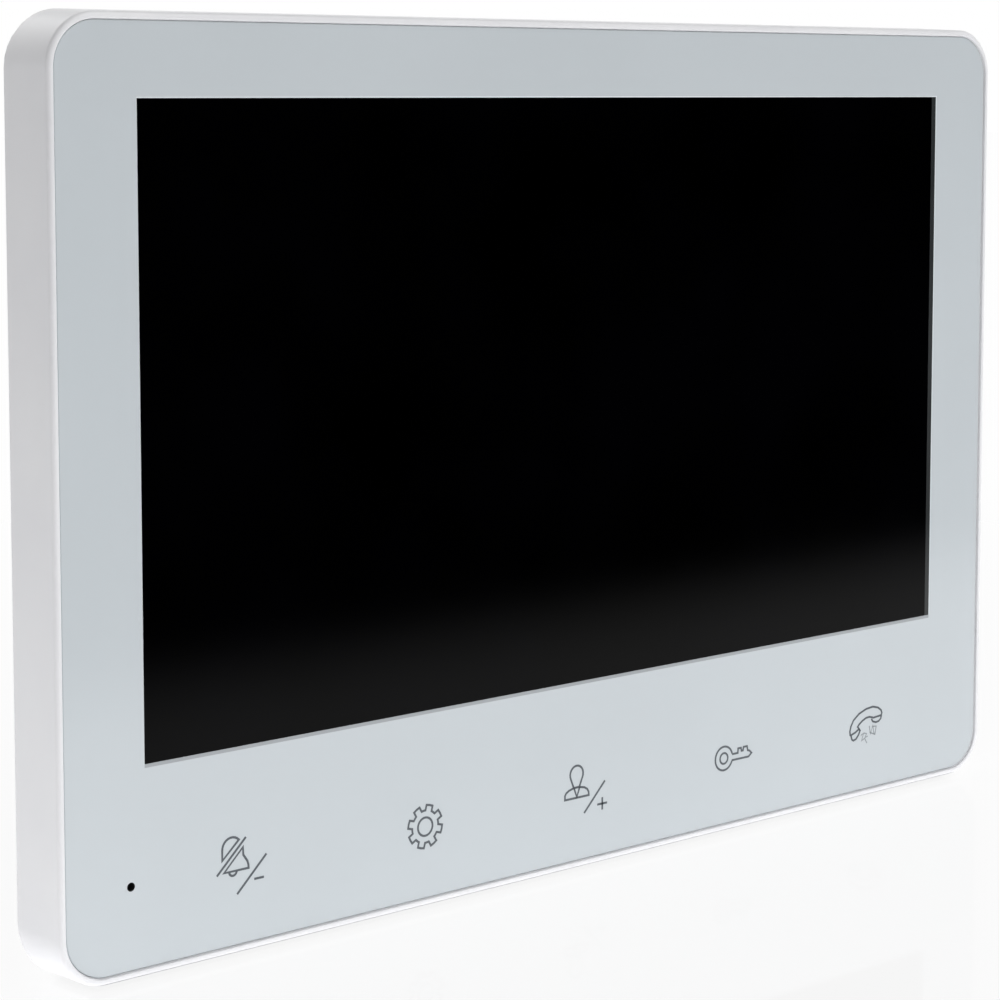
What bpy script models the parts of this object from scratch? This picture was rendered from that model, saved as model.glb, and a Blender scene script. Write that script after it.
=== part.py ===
"""Wall-mounted video intercom monitor: a hands-free indoor unit with a flush glass front.

Units are metres. +X is right as seen from the front, +Y runs into the wall and +Z is up.
The origin is the centre of the wall bracket's back face. The monitor hangs on the bracket's
hooks and lifts off upwards. Depths are y values: the glass is at the most negative y.
"""
import math

import bmesh
import bpy
from mathutils import Vector

# ---------------------------------------------------------------- driving dimensions
GAP = 0.0003                    # clearance between pieces that touch

CASE_WIDTH = 0.1810             # front outline
CASE_HEIGHT = 0.1256
CASE_DEPTH = 0.0205             # front of the lip to the wall
CORNER_RADIUS = 0.0072
HOUSING_DEPTH = 0.0097          # front of the lip to the parting edge
HOUSING_WALL = 0.0020
EDGE_FLARE = 0.00045            # how far the parting edge stands out past the front outline
LIP_WIDTH = 0.00095
LIP_PROUD = 0.0003              # lip above the glass
LIP_ROUND = 0.0007
LIP_ROUND_STEPS = 4
FLANGE_THICKNESS = 0.0015
CORNER_STEPS = 8

COVER_WALL = 0.0018
COVER_STEP = 0.0005             # cover set in from the parting edge
COVER_STEP_DEPTH = 0.0007
COVER_BACK_INSET = 0.00515      # cover's taper at the back, from the front outline
COVER_EDGE_ROUND = 0.0010
TONGUE_DEPTH = 0.0014           # lap of the rear cover inside the front housing
TONGUE_WALL = 0.0012

GLASS_THICKNESS = 0.0018
TAPE_THICKNESS = 0.0004
TAPE_WIDTH = 0.0036

WINDOW_WIDTH = 0.1546           # clear window in the glass's back print
WINDOW_HEIGHT = 0.0864
WINDOW_TOP_MARGIN = 0.0110      # window to the top of the case
WINDOW_RISE = 0.0518            # top of the window above the centre of the bracket

LCD_WIDTH = 0.1650
LCD_HEIGHT = 0.1000
LCD_TOP_BORDER = 0.0058         # module edge above the window
LCD_CORNER = 0.0008
LCD_CLEARANCE = 0.0005          # module to the housing's opening
PANEL_THICKNESS = 0.0014
BACKLIGHT_THICKNESS = 0.0030
GASKET_THICKNESS = 0.0006
GASKET_INSET = 0.0010           # gasket edge inside the module's edge
GASKET_WINDOW_MARGIN = 0.0008   # gasket opening past the window

PLATE_THICKNESS = 0.0010        # steel chassis behind the display
PLATE_SIDE_INSET = 0.0045
PLATE_END_INSET = 0.0030
PLATE_CORNER = 0.0030
EAR_HEIGHT = 0.0080
EAR_END_GAP = 0.0005
POST_HEIGHT = 0.0016
POST_RADIUS = 0.0027

BOARD_LEFT = -0.0720
BOARD_RIGHT = 0.0500
BOARD_RISE = 0.0122             # bottom of the board above the bottom of the display module
BOARD_DROP = 0.0118             # top of the board below the top of the display module
BOARD_THICKNESS = 0.0016
BOARD_CORNER = 0.0015
BOARD_SCREW_INSET = 0.0040

KEY_COUNT = 5
KEY_PITCH = 0.0310
KEY_DROP = 0.0166               # key centres below the window
KEY_PAD_RADIUS = 0.0045
TOUCH_BOARD_WIDTH = 0.1484
TOUCH_BOARD_HEIGHT = 0.0132
TOUCH_BOARD_THICKNESS = 0.0010
TOUCH_SEAT = 0.0015             # board resting on the flange around the key opening
TOUCH_END_SEAT = 0.0065
TOUCH_SCREW_INSET = 0.0032

MIC_OFFSET = 0.0023             # microphone left of the window
MIC_DROP = 0.0159               # microphone below the window
MIC_HOLE_RADIUS = 0.00065
MIC_RADIUS = 0.0030
MIC_LENGTH = 0.0024
BOOT_WALL = 0.0009
BOOT_FRONT = 0.0010
BOOT_LENGTH = 0.0042
BOOT_HOLE_RADIUS = 0.0008

BRACKET_WIDTH = 0.1040
BRACKET_HEIGHT = 0.0700
BRACKET_THICKNESS = 0.0012
BRACKET_CORNER = 0.0035
RECESS_CLEARANCE = 0.0006       # bracket edge to the recess it sits in
HOOK_INSET = 0.0080             # hook centres in from the bracket's sides
HOOK_ZS = (0.0240, -0.0140)     # top of each pair of hook necks
HOOK_WIDTH = 0.0050
HOOK_LIP = 0.0050               # lip above the neck
LIFT_TRAVEL = 0.0060            # lift that frees the hooks
HOOK_SIDE_CLEARANCE = 0.0005
WALL_SLOT_WIDTH = 0.0040
WALL_SLOT_LENGTH = 0.0090
WALL_SLOT_X = 0.0300            # screws 60 mm apart, as in a round flush box
WALL_SLOT_Z = 0.0080
WALL_HOLE_X = 0.0200
WALL_HOLE_Z = 0.0300
SCREW_HEAD_ROOM = 0.0022        # bracket face to the recess floor, for wall screw heads

BAY_WIDTH = 0.0580              # opening over the wiring sockets
BAY_HEIGHT = 0.0170
BAY_ABOVE_BOARD = 0.0080        # bottom of the bay above the bottom of the board
BAY_CORNER = 0.0015
BRACKET_WINDOW_MARGIN = 0.0030

SOCKET_NAMES = ("door_socket_1", "door_socket_2", "link_socket", "power_socket")
SOCKET_PITCH = 0.0140
SOCKET_WIDTH = 0.0124
SOCKET_DEPTH = 0.0058
SOCKET_HEIGHT = 0.0052
SOCKET_WALL = 0.0007
SOCKET_FLOOR = 0.0008
SOCKET_TOP_GAP = 0.0030         # socket row below the top of the bay

SPEAKER_RADIUS = 0.0146
SPEAKER_RIM = 0.0012
SPEAKER_RISE = 0.0302           # speaker centre above the bottom of the board
SPEAKER_GASKET = 0.0012
SPEAKER_SURROUND = 0.0022       # width of the gasket ring
MAGNET_RADIUS = 0.0085
MAGNET_HEIGHT = 0.0032
CONE_WALL = 0.0004
RIB_WALL = 0.0012
RIB_HEIGHT = 0.0028
GRILLE_SLOTS = 7
GRILLE_SLOT_WIDTH = 0.0016

VENT_COUNT = 14
VENT_PITCH = 0.0045
VENT_WIDTH = 0.0016
VENT_LENGTH = 0.0080
VENT_DROP = 0.0168              # vents below the top of the case

SWITCH_WIDTH = 0.0042           # power switch, across the case
SWITCH_LENGTH = 0.0080
SWITCH_THICKNESS = 0.0030
SWITCH_TRAVEL = 0.0030
SWITCH_DROP = 0.0148            # centre of the switch below the window
KNOB_LENGTH = 0.0026
KNOB_THICKNESS = 0.0014
KNOB_PROUD = 0.0011             # knob past the side of the case
KNOB_CLEARANCE = 0.0004

BOSS_RADIUS = 0.0028
CASE_SCREW_DROP = 0.0148        # upper case screws below the top of the case
CASE_SCREW_RISE = 0.0053        # lower case screws above the bottom of the case
CHASSIS_SCREW_DROP = 0.0276     # upper chassis screws below the top of the display module
CHASSIS_SCREW_RISE = 0.0224     # lower chassis screws above the bottom of the display module
SCREW_SEAT = 0.0024             # cover material under a case screw's head
COLUMN_RADIUS = 0.0038
CASE_SCREW = (0.0026, 0.0016, 0.0013, 0.0065)      # head radius and height, shank radius, length
CHASSIS_SCREW = (0.0023, 0.0014, 0.0011, 0.0036)
BOARD_SCREW = (0.0023, 0.0014, 0.0010, 0.0040)
TOUCH_SCREW = (0.0018, 0.0011, 0.0008, 0.0024)
ROUND_STEPS = 24
SMALL_STEPS = 16

RIBBON_THICKNESS = 0.0003
LCD_RIBBON = (0.0310, 0.0180)   # centre x and width
TOUCH_RIBBON = (-0.0560, 0.0080)
RIBBON_OVERLAP = 0.0030         # ribbon lying on the board
CONNECTOR_DEPTH = 0.0040
CONNECTOR_HEIGHT = 0.0018
LEAD_RADIUS = 0.0005

# name, x, drop below the top of the board, width (x), length (z), thickness
CHIPS = (
    ("video_processor", -0.0200, 0.0220, 0.0140, 0.0140, 0.0014),
    ("memory_chip", 0.0020, 0.0220, 0.0100, 0.0130, 0.0012),
    ("flash_chip", -0.0360, 0.0110, 0.0060, 0.0050, 0.0016),
    ("audio_chip", 0.0340, 0.0410, 0.0060, 0.0050, 0.0015),
    ("clock_crystal", -0.0200, 0.0110, 0.0050, 0.0032, 0.0010),
)
INDUCTOR = (0.0260, 0.0280, 0.0070, 0.0018)        # x, drop, side, height
CAPACITORS = ((-0.0320, 0.0045), (-0.0220, 0.0045))
CAPACITOR_RADIUS = 0.0031
CAPACITOR_HEIGHT = 0.0046

# ---------------------------------------------------------------- depths, front to back
FRONT_Y = -CASE_DEPTH
GLASS_FRONT = FRONT_Y + LIP_PROUD
GLASS_BACK = GLASS_FRONT + GLASS_THICKNESS
TAPE_FRONT = GLASS_BACK + GAP
FLANGE_FRONT = TAPE_FRONT + TAPE_THICKNESS + GAP
FLANGE_BACK = FLANGE_FRONT + FLANGE_THICKNESS
GASKET_FRONT = GLASS_BACK + GAP
PANEL_FRONT = GASKET_FRONT + GASKET_THICKNESS + GAP
BACKLIGHT_FRONT = PANEL_FRONT + PANEL_THICKNESS + GAP
PLATE_FRONT = BACKLIGHT_FRONT + BACKLIGHT_THICKNESS + GAP
PLATE_BACK = PLATE_FRONT + PLATE_THICKNESS
BOARD_FRONT = PLATE_BACK + POST_HEIGHT + GAP
BOARD_BACK = BOARD_FRONT + BOARD_THICKNESS
ON_BOARD = BOARD_BACK + GAP
TOUCH_FRONT = FLANGE_BACK + GAP
TOUCH_BACK = TOUCH_FRONT + TOUCH_BOARD_THICKNESS
PART_Y = FRONT_Y + HOUSING_DEPTH
COVER_FRONT = PART_Y + GAP
COVER_BACK = -GAP
COVER_INNER = COVER_BACK - COVER_WALL
COVER_EDGE_START = COVER_BACK - COVER_EDGE_ROUND
SLOPE_START = COVER_FRONT + COVER_STEP_DEPTH
STEP_INSET = COVER_STEP - EDGE_FLARE
COVER_TAPER = (COVER_BACK_INSET - STEP_INSET) / (COVER_EDGE_START - SLOPE_START)
RECESS_FLOOR = -(BRACKET_THICKNESS + SCREW_HEAD_ROOM)
RECESS_INNER = RECESS_FLOOR - COVER_WALL
HOOK_LIP_BACK = RECESS_INNER - GAP

# ---------------------------------------------------------------- places across the front
WINDOW_TOP = WINDOW_RISE
CASE_TOP = WINDOW_TOP + WINDOW_TOP_MARGIN
CASE_BOTTOM = CASE_TOP - CASE_HEIGHT
CASE_Z = (CASE_TOP + CASE_BOTTOM) / 2
WINDOW_BOTTOM = WINDOW_TOP - WINDOW_HEIGHT
LCD_TOP = WINDOW_TOP + LCD_TOP_BORDER
LCD_BOTTOM = LCD_TOP - LCD_HEIGHT
LCD_Z = (LCD_TOP + LCD_BOTTOM) / 2
WINDOW_Z = (WINDOW_TOP + WINDOW_BOTTOM) / 2
KEY_Z = WINDOW_BOTTOM - KEY_DROP
KEY_XS = [(index - (KEY_COUNT - 1) / 2) * KEY_PITCH for index in range(KEY_COUNT)]
MIC_X = -WINDOW_WIDTH / 2 - MIC_OFFSET
MIC_Z = WINDOW_BOTTOM - MIC_DROP
BOSS_X = CASE_WIDTH / 2 - HOUSING_WALL - BOSS_RADIUS - 0.0001
BOARD_BOTTOM = LCD_BOTTOM + BOARD_RISE
BOARD_TOP = LCD_TOP - BOARD_DROP
BOARD_X = (BOARD_LEFT + BOARD_RIGHT) / 2
BAY_BOTTOM = BOARD_BOTTOM + BAY_ABOVE_BOARD
BAY_TOP = BAY_BOTTOM + BAY_HEIGHT
BAY_Z = (BAY_BOTTOM + BAY_TOP) / 2
SOCKET_Z = BAY_TOP - SOCKET_TOP_GAP - SOCKET_DEPTH / 2
SPEAKER_X = BRACKET_WIDTH / 2 + RECESS_CLEARANCE + COVER_WALL + GAP + SPEAKER_RADIUS
SPEAKER_Z = BOARD_BOTTOM + SPEAKER_RISE
HOOK_X = BRACKET_WIDTH / 2 - HOOK_INSET
VENT_Z = CASE_TOP - VENT_DROP
SWITCH_Z = WINDOW_BOTTOM - SWITCH_DROP
SWITCH_RIGHT = CASE_WIDTH / 2 - HOUSING_WALL - 2 * GAP
SWITCH_Y = TOUCH_BACK + GAP + SWITCH_THICKNESS / 2
KNOB_Z = SWITCH_Z - SWITCH_TRAVEL / 2
CASE_SCREW_Z = (CASE_TOP - CASE_SCREW_DROP, CASE_BOTTOM + CASE_SCREW_RISE)
CHASSIS_SCREW_Z = (LCD_TOP - CHASSIS_SCREW_DROP, LCD_BOTTOM + CHASSIS_SCREW_RISE)
CASE_SCREWS = [(side * BOSS_X, z) for z in CASE_SCREW_Z for side in (-1, 1)]
CHASSIS_SCREWS = [(side * BOSS_X, z) for z in CHASSIS_SCREW_Z for side in (-1, 1)]
BOARD_SCREWS = [(x, z)
                for z in (BOARD_BOTTOM + BOARD_SCREW_INSET, BOARD_TOP - BOARD_SCREW_INSET)
                for x in (BOARD_LEFT + BOARD_SCREW_INSET, BOARD_RIGHT - BOARD_SCREW_INSET)]
TOUCH_SCREWS = [(side * (TOUCH_BOARD_WIDTH / 2 - TOUCH_SCREW_INSET), KEY_Z) for side in (-1, 1)]


# ---------------------------------------------------------------- materials
def make_material(name, colour, roughness, metallic=0.0):
    material = bpy.data.materials.new(name)
    material.use_nodes = True
    shader = material.node_tree.nodes["Principled BSDF"]
    shader.inputs["Base Color"].default_value = (*colour, 1.0)
    shader.inputs["Roughness"].default_value = roughness
    shader.inputs["Metallic"].default_value = metallic
    material.diffuse_color = (*colour, 1.0)
    return material


# ---------------------------------------------------------------- shape helpers
def rounded_outline(width, height, radius, centre=(0.0, 0.0), steps=CORNER_STEPS):
    """Corner arcs of a rounded rectangle in the XZ plane, counter-clockwise from the right."""
    points = []
    for side_x, side_z, start in ((1, 1, 0), (-1, 1, 90), (-1, -1, 180), (1, -1, 270)):
        corner_x = centre[0] + side_x * (width / 2 - radius)
        corner_z = centre[1] + side_z * (height / 2 - radius)
        for step in range(steps + 1):
            angle = math.radians(start + 90 * step / steps)
            points.append((corner_x + radius * math.cos(angle),
                           corner_z + radius * math.sin(angle)))
    return points


def round_outline(radius, centre, steps=SMALL_STEPS):
    return [(centre[0] + radius * math.cos(2 * math.pi * step / steps),
             centre[1] + radius * math.sin(2 * math.pi * step / steps)) for step in range(steps)]


def case_outline(inset):
    """The case's front outline, set in all round, with its corners kept open."""
    radius = max(CORNER_RADIUS - inset, CORNER_RADIUS / 2)
    return rounded_outline(CASE_WIDTH - 2 * inset, CASE_HEIGHT - 2 * inset, radius,
                           (0.0, CASE_Z))


def new_object(name, mesh_builder):
    mesh_builder.normal_update()
    bmesh.ops.recalc_face_normals(mesh_builder, faces=mesh_builder.faces)
    mesh = bpy.data.meshes.new(name)
    mesh_builder.to_mesh(mesh)
    mesh_builder.free()
    body = bpy.data.objects.new(name, mesh)
    bpy.context.scene.collection.objects.link(body)
    return body


def loft(name, sections):
    """Closed solid through outlines of equal point count, each given as (y, outline)."""
    builder = bmesh.new()
    rings = []
    for depth, outline in sections:
        rings.append([builder.verts.new((x, depth, z)) for x, z in outline])
    count = len(rings[0])
    for first, second in zip(rings, rings[1:]):
        for index in range(count):
            following = (index + 1) % count
            builder.faces.new((first[index], first[following], second[following], second[index]))
    builder.faces.new(rings[0])
    builder.faces.new(list(reversed(rings[-1])))
    return new_object(name, builder)


def prism(name, outline, front, back):
    return loft(name, [(front, outline), (back, outline)])


def block(name, low, high):
    outline = [(low[0], low[2]), (high[0], low[2]), (high[0], high[2]), (low[0], high[2])]
    return prism(name, outline, low[1], high[1])


def rod(name, centre, radius, front, back, steps=SMALL_STEPS):
    return prism(name, round_outline(radius, centre, steps), front, back)


def turned(name, centre, profile, steps=ROUND_STEPS):
    """Closed profile of (radius, y) turned about the Y axis through centre (x, z).

    A profile whose ends have no radius closes on the axis; any other is a ring.
    """
    builder = bmesh.new()
    on_axis = profile[0][0] == 0.0 and profile[-1][0] == 0.0
    turning = profile[1:-1] if on_axis else profile
    rings = []
    for radius, depth in turning:
        rings.append([builder.verts.new((x, depth, z))
                      for x, z in round_outline(radius, centre, steps)])
    pairs = list(zip(rings, rings[1:]))
    if not on_axis:
        pairs.append((rings[-1], rings[0]))
    for first, second in pairs:
        for index in range(steps):
            following = (index + 1) % steps
            builder.faces.new((first[index], first[following], second[following], second[index]))
    if on_axis:
        for ring, (_, depth) in ((rings[0], profile[0]), (rings[-1], profile[-1])):
            tip = builder.verts.new((centre[0], depth, centre[1]))
            for index in range(steps):
                builder.faces.new((tip, ring[index], ring[(index + 1) % steps]))
    return new_object(name, builder)


def ribbon(name, centre_x, width, route):
    """Flat cable: a strip of constant thickness along a route of (y, z) points."""
    points = [Vector(point) for point in route]
    upper, lower = [], []
    for index, point in enumerate(points):
        before = points[max(index - 1, 0)]
        after = points[min(index + 1, len(points) - 1)]
        heading = (after - before).normalized()
        across = Vector((-heading.y, heading.x)) * RIBBON_THICKNESS / 2
        upper.append(point + across)
        lower.append(point - across)
    outline = upper + list(reversed(lower))
    builder = bmesh.new()
    left = [builder.verts.new((centre_x - width / 2, y, z)) for y, z in outline]
    right = [builder.verts.new((centre_x + width / 2, y, z)) for y, z in outline]
    count = len(outline)
    for index in range(count):
        following = (index + 1) % count
        builder.faces.new((left[index], left[following], right[following], right[index]))
    strips = len(points) - 1
    for side in (left, right):
        for index in range(strips):
            builder.faces.new((side[index], side[index + 1],
                               side[count - 2 - index], side[count - 1 - index]))
    return new_object(name, builder)


def lead(name, route):
    """Round wire through points in space, smoothed between them."""
    curve = bpy.data.curves.new(name, "CURVE")
    curve.dimensions = "3D"
    curve.bevel_depth = LEAD_RADIUS
    curve.bevel_resolution = 2
    curve.use_fill_caps = True
    curve.render_resolution_u = 0
    places = smooth_route([Vector(point) for point in route])
    spline = curve.splines.new("POLY")
    spline.points.add(len(places) - 1)
    for point, place in zip(spline.points, places):
        point.co = (*place, 1.0)
    body = bpy.data.objects.new(name, curve)
    bpy.context.scene.collection.objects.link(body)
    return body


def smooth_route(points, steps=5):
    """Points along a Catmull-Rom curve through the given ones."""
    places = []
    ends = [2 * points[0] - points[1]] + points + [2 * points[-1] - points[-2]]
    for before, start, end, after in zip(ends, ends[1:], ends[2:], ends[3:]):
        for step in range(steps):
            t = step / steps
            places.append(0.5 * (2 * start + (end - before) * t
                                 + (2 * before - 5 * start + 4 * end - after) * t ** 2
                                 + (3 * start - before - 3 * end + after) * t ** 3))
    places.append(points[-1])
    return places


def as_tool(tool):
    tool.hide_render = True
    tool.display_type = "WIRE"
    return tool


def combine(body, tool, operation):
    modifier = body.modifiers.new(operation.lower() + "_" + tool.name, "BOOLEAN")
    modifier.operation = operation
    modifier.solver = "EXACT"
    modifier.object = as_tool(tool)


def cut(body, *tools):
    for tool in tools:
        combine(body, tool, "DIFFERENCE")


def add(body, *tools):
    for tool in tools:
        combine(body, tool, "UNION")


def finish(body, material, parent):
    body.data.materials.append(material)
    if body.type == "MESH":
        body.data.shade_smooth()
        body.data.set_sharp_from_angle(angle=math.radians(30))
    body.parent = parent
    return body


def screw(name, place, seat_y, sizes, material, parent):
    """Pan-head screw driven towards the front: its head lies behind seat_y."""
    head_radius, head_height, shank_radius, length = sizes
    seat = seat_y + GAP
    profile = [(0.0, seat + head_height), (head_radius * 0.72, seat + head_height),
               (head_radius, seat + head_height * 0.55), (head_radius, seat),
               (shank_radius, seat), (shank_radius, seat - length), (0.0, seat - length)]
    return finish(turned(name, place, profile, SMALL_STEPS), material, parent)


# ---------------------------------------------------------------- wall bracket
def make_bracket(steel, parent):
    outline = rounded_outline(BRACKET_WIDTH, BRACKET_HEIGHT, BRACKET_CORNER, steps=4)
    bracket = prism("wall_bracket", outline, -BRACKET_THICKNESS, 0.0)
    through = (-BRACKET_THICKNESS - 0.002, 0.002)
    window = rounded_outline(BAY_WIDTH + 2 * BRACKET_WINDOW_MARGIN,
                             BAY_HEIGHT + 2 * BRACKET_WINDOW_MARGIN, BRACKET_CORNER,
                             (0.0, BAY_Z), 3)
    cut(bracket, prism("bracket_window_cut", window, *through))
    for side in (-1, 1):
        slot = rounded_outline(WALL_SLOT_LENGTH, WALL_SLOT_WIDTH, WALL_SLOT_WIDTH * 0.499,
                               (side * WALL_SLOT_X, WALL_SLOT_Z), 4)
        cut(bracket, prism(f"wall_slot_cut_{side}", slot, *through))
        for level in (-1, 1):
            place = (side * WALL_HOLE_X, level * WALL_HOLE_Z)
            cut(bracket, rod(f"wall_hole_cut_{side}_{level}", place, WALL_SLOT_WIDTH / 2,
                             *through))
        for index, hook_z in enumerate(HOOK_ZS):
            add(bracket, make_hook(f"hook_{side}_{index}", side * HOOK_X, hook_z))
    return finish(bracket, steel, parent)


def make_hook(name, x, neck_top):
    """L-shaped hook bent out of the bracket: a neck forward, then a lip upwards."""
    lip_front = HOOK_LIP_BACK - BRACKET_THICKNESS
    root = -BRACKET_THICKNESS / 2
    bottom = neck_top - BRACKET_THICKNESS
    tip = neck_top + HOOK_LIP
    outline = [(root, bottom), (root, neck_top), (HOOK_LIP_BACK, neck_top),
               (HOOK_LIP_BACK, tip), (lip_front, tip), (lip_front, bottom)]
    builder = bmesh.new()
    sides = []
    for edge in (x - HOOK_WIDTH / 2, x + HOOK_WIDTH / 2):
        sides.append([builder.verts.new((edge, y, z)) for y, z in outline])
        builder.faces.new(sides[-1])
    for index in range(len(outline)):
        following = (index + 1) % len(outline)
        builder.faces.new((sides[0][index], sides[0][following],
                           sides[1][following], sides[1][index]))
    return new_object(name, builder)


# ---------------------------------------------------------------- front housing and glass
def make_front_housing(plastic, parent):
    sections = []
    for step in range(LIP_ROUND_STEPS + 1):
        angle = math.radians(90 * step / LIP_ROUND_STEPS)
        inset = LIP_ROUND * (1 - math.sin(angle))
        depth = FRONT_Y + LIP_ROUND * (1 - math.cos(angle))
        sections.append((depth, case_outline(inset)))
    sections.append((PART_Y, case_outline(-EDGE_FLARE)))
    housing = loft("front_housing", sections)

    cut(housing, prism("glass_recess_cut", case_outline(LIP_WIDTH), FRONT_Y - 0.001,
                       FLANGE_FRONT))
    cavity = prism("housing_cavity_cut", case_outline(HOUSING_WALL), FLANGE_BACK,
                   PART_Y + 0.001)
    for index, place in enumerate(CASE_SCREWS):
        cut(cavity, rod(f"case_boss_{index}", place, BOSS_RADIUS, FLANGE_BACK - 0.001, PART_Y))
    for index, place in enumerate(CHASSIS_SCREWS):
        cut(cavity, rod(f"chassis_boss_{index}", place, BOSS_RADIUS, FLANGE_BACK - 0.001,
                        PLATE_FRONT - GAP))
    cut(housing, cavity)

    lcd_opening = rounded_outline(LCD_WIDTH + 2 * LCD_CLEARANCE, LCD_HEIGHT + 2 * LCD_CLEARANCE,
                                  LCD_CORNER, (0.0, LCD_Z), 2)
    key_opening = rounded_outline(TOUCH_BOARD_WIDTH - 2 * TOUCH_END_SEAT,
                                  TOUCH_BOARD_HEIGHT - 2 * TOUCH_SEAT, LCD_CORNER,
                                  (0.0, KEY_Z), 2)
    through = (FLANGE_FRONT - 0.001, FLANGE_BACK + 0.001)
    cut(housing, prism("lcd_opening_cut", lcd_opening, *through),
        prism("key_opening_cut", key_opening, *through),
        rod("boot_hole_cut", (MIC_X, MIC_Z), MIC_RADIUS + BOOT_WALL + 2 * GAP, *through))
    for index, place in enumerate(CASE_SCREWS):
        cut(housing, rod(f"case_pilot_{index}", place, CASE_SCREW[2] + GAP,
                         COVER_FRONT + SCREW_SEAT - CASE_SCREW[3] - GAP, PART_Y + 0.001))
    for index, place in enumerate(CHASSIS_SCREWS):
        cut(housing, rod(f"chassis_pilot_{index}", place, CHASSIS_SCREW[2] + GAP,
                         PLATE_BACK - CHASSIS_SCREW[3] - GAP, PLATE_FRONT))
    for index, place in enumerate(TOUCH_SCREWS):
        cut(housing, rod(f"touch_pilot_{index}", place, TOUCH_SCREW[2] + GAP, *through))
    slot_half = KNOB_THICKNESS / 2 + KNOB_CLEARANCE
    cut(housing, block("switch_slot_cut",
                       (CASE_WIDTH / 2 - HOUSING_WALL - 0.0005, SWITCH_Y - slot_half,
                        KNOB_Z - KNOB_LENGTH / 2 - KNOB_CLEARANCE),
                       (CASE_WIDTH / 2 + 0.002, SWITCH_Y + slot_half,
                        KNOB_Z + SWITCH_TRAVEL + KNOB_LENGTH / 2 + KNOB_CLEARANCE)))
    return finish(housing, plastic, parent)


def make_glass(glass, parent):
    inset = LIP_WIDTH + GAP
    bevel = GAP
    pane = loft("front_glass", [(GLASS_FRONT, case_outline(inset + bevel)),
                                (GLASS_FRONT + bevel, case_outline(inset)),
                                (GLASS_BACK, case_outline(inset))])
    cut(pane, rod("microphone_hole_cut", (MIC_X, MIC_Z), MIC_HOLE_RADIUS, GLASS_FRONT - 0.001,
                  GLASS_BACK + 0.001, 12))
    return finish(pane, glass, parent)


def make_frame(name, outer, inner, front, back, material, parent):
    """Flat frame between two outlines."""
    frame = prism(name, outer, front, back)
    cut(frame, prism(name + "_cut", inner, front - 0.001, back + 0.001))
    return finish(frame, material, parent)


def make_display(materials, parent):
    tape_edge = LIP_WIDTH + 2 * GAP
    make_frame("glass_tape", case_outline(tape_edge), case_outline(tape_edge + TAPE_WIDTH),
               TAPE_FRONT, TAPE_FRONT + TAPE_THICKNESS, materials["foam"], parent)
    gasket_outer = rounded_outline(LCD_WIDTH - 2 * GASKET_INSET, LCD_HEIGHT - 2 * GASKET_INSET,
                                   LCD_CORNER, (0.0, LCD_Z), 2)
    gasket_inner = rounded_outline(WINDOW_WIDTH + 2 * GASKET_WINDOW_MARGIN,
                                   WINDOW_HEIGHT + 2 * GASKET_WINDOW_MARGIN, LCD_CORNER,
                                   (0.0, WINDOW_Z), 2)
    make_frame("lcd_gasket", gasket_outer, gasket_inner, GASKET_FRONT,
               GASKET_FRONT + GASKET_THICKNESS, materials["foam"], parent)
    module = rounded_outline(LCD_WIDTH, LCD_HEIGHT, LCD_CORNER, (0.0, LCD_Z), 2)
    panel = prism("lcd_panel", module, PANEL_FRONT, PANEL_FRONT + PANEL_THICKNESS)
    finish(panel, materials["screen"], parent)
    backlight = prism("lcd_backlight", module, BACKLIGHT_FRONT,
                      BACKLIGHT_FRONT + BACKLIGHT_THICKNESS)
    finish(backlight, materials["steel"], parent)


def make_chassis_plate(steel, parent):
    outline = rounded_outline(LCD_WIDTH - 2 * PLATE_SIDE_INSET, LCD_HEIGHT - 2 * PLATE_END_INSET,
                              PLATE_CORNER, (0.0, LCD_Z), 3)
    plate = prism("chassis_plate", outline, PLATE_FRONT, PLATE_BACK)
    ear_end = CASE_WIDTH / 2 - HOUSING_WALL - EAR_END_GAP
    for z in CHASSIS_SCREW_Z:
        add(plate, block(f"ear_{z}", (-ear_end, PLATE_FRONT, z - EAR_HEIGHT / 2),
                         (ear_end, PLATE_BACK, z + EAR_HEIGHT / 2)))
    for index, place in enumerate(BOARD_SCREWS):
        add(plate, rod(f"board_post_{index}", place, POST_RADIUS, PLATE_FRONT + 0.0004,
                       PLATE_BACK + POST_HEIGHT))
        cut(plate, rod(f"board_pilot_{index}", place, BOARD_SCREW[2] + GAP,
                       PLATE_FRONT - 0.001, BOARD_FRONT))
    for index, place in enumerate(CHASSIS_SCREWS):
        cut(plate, rod(f"ear_hole_{index}", place, CHASSIS_SCREW[2] + GAP, PLATE_FRONT - 0.001,
                       PLATE_BACK + 0.001))
    return finish(plate, steel, parent)


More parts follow.
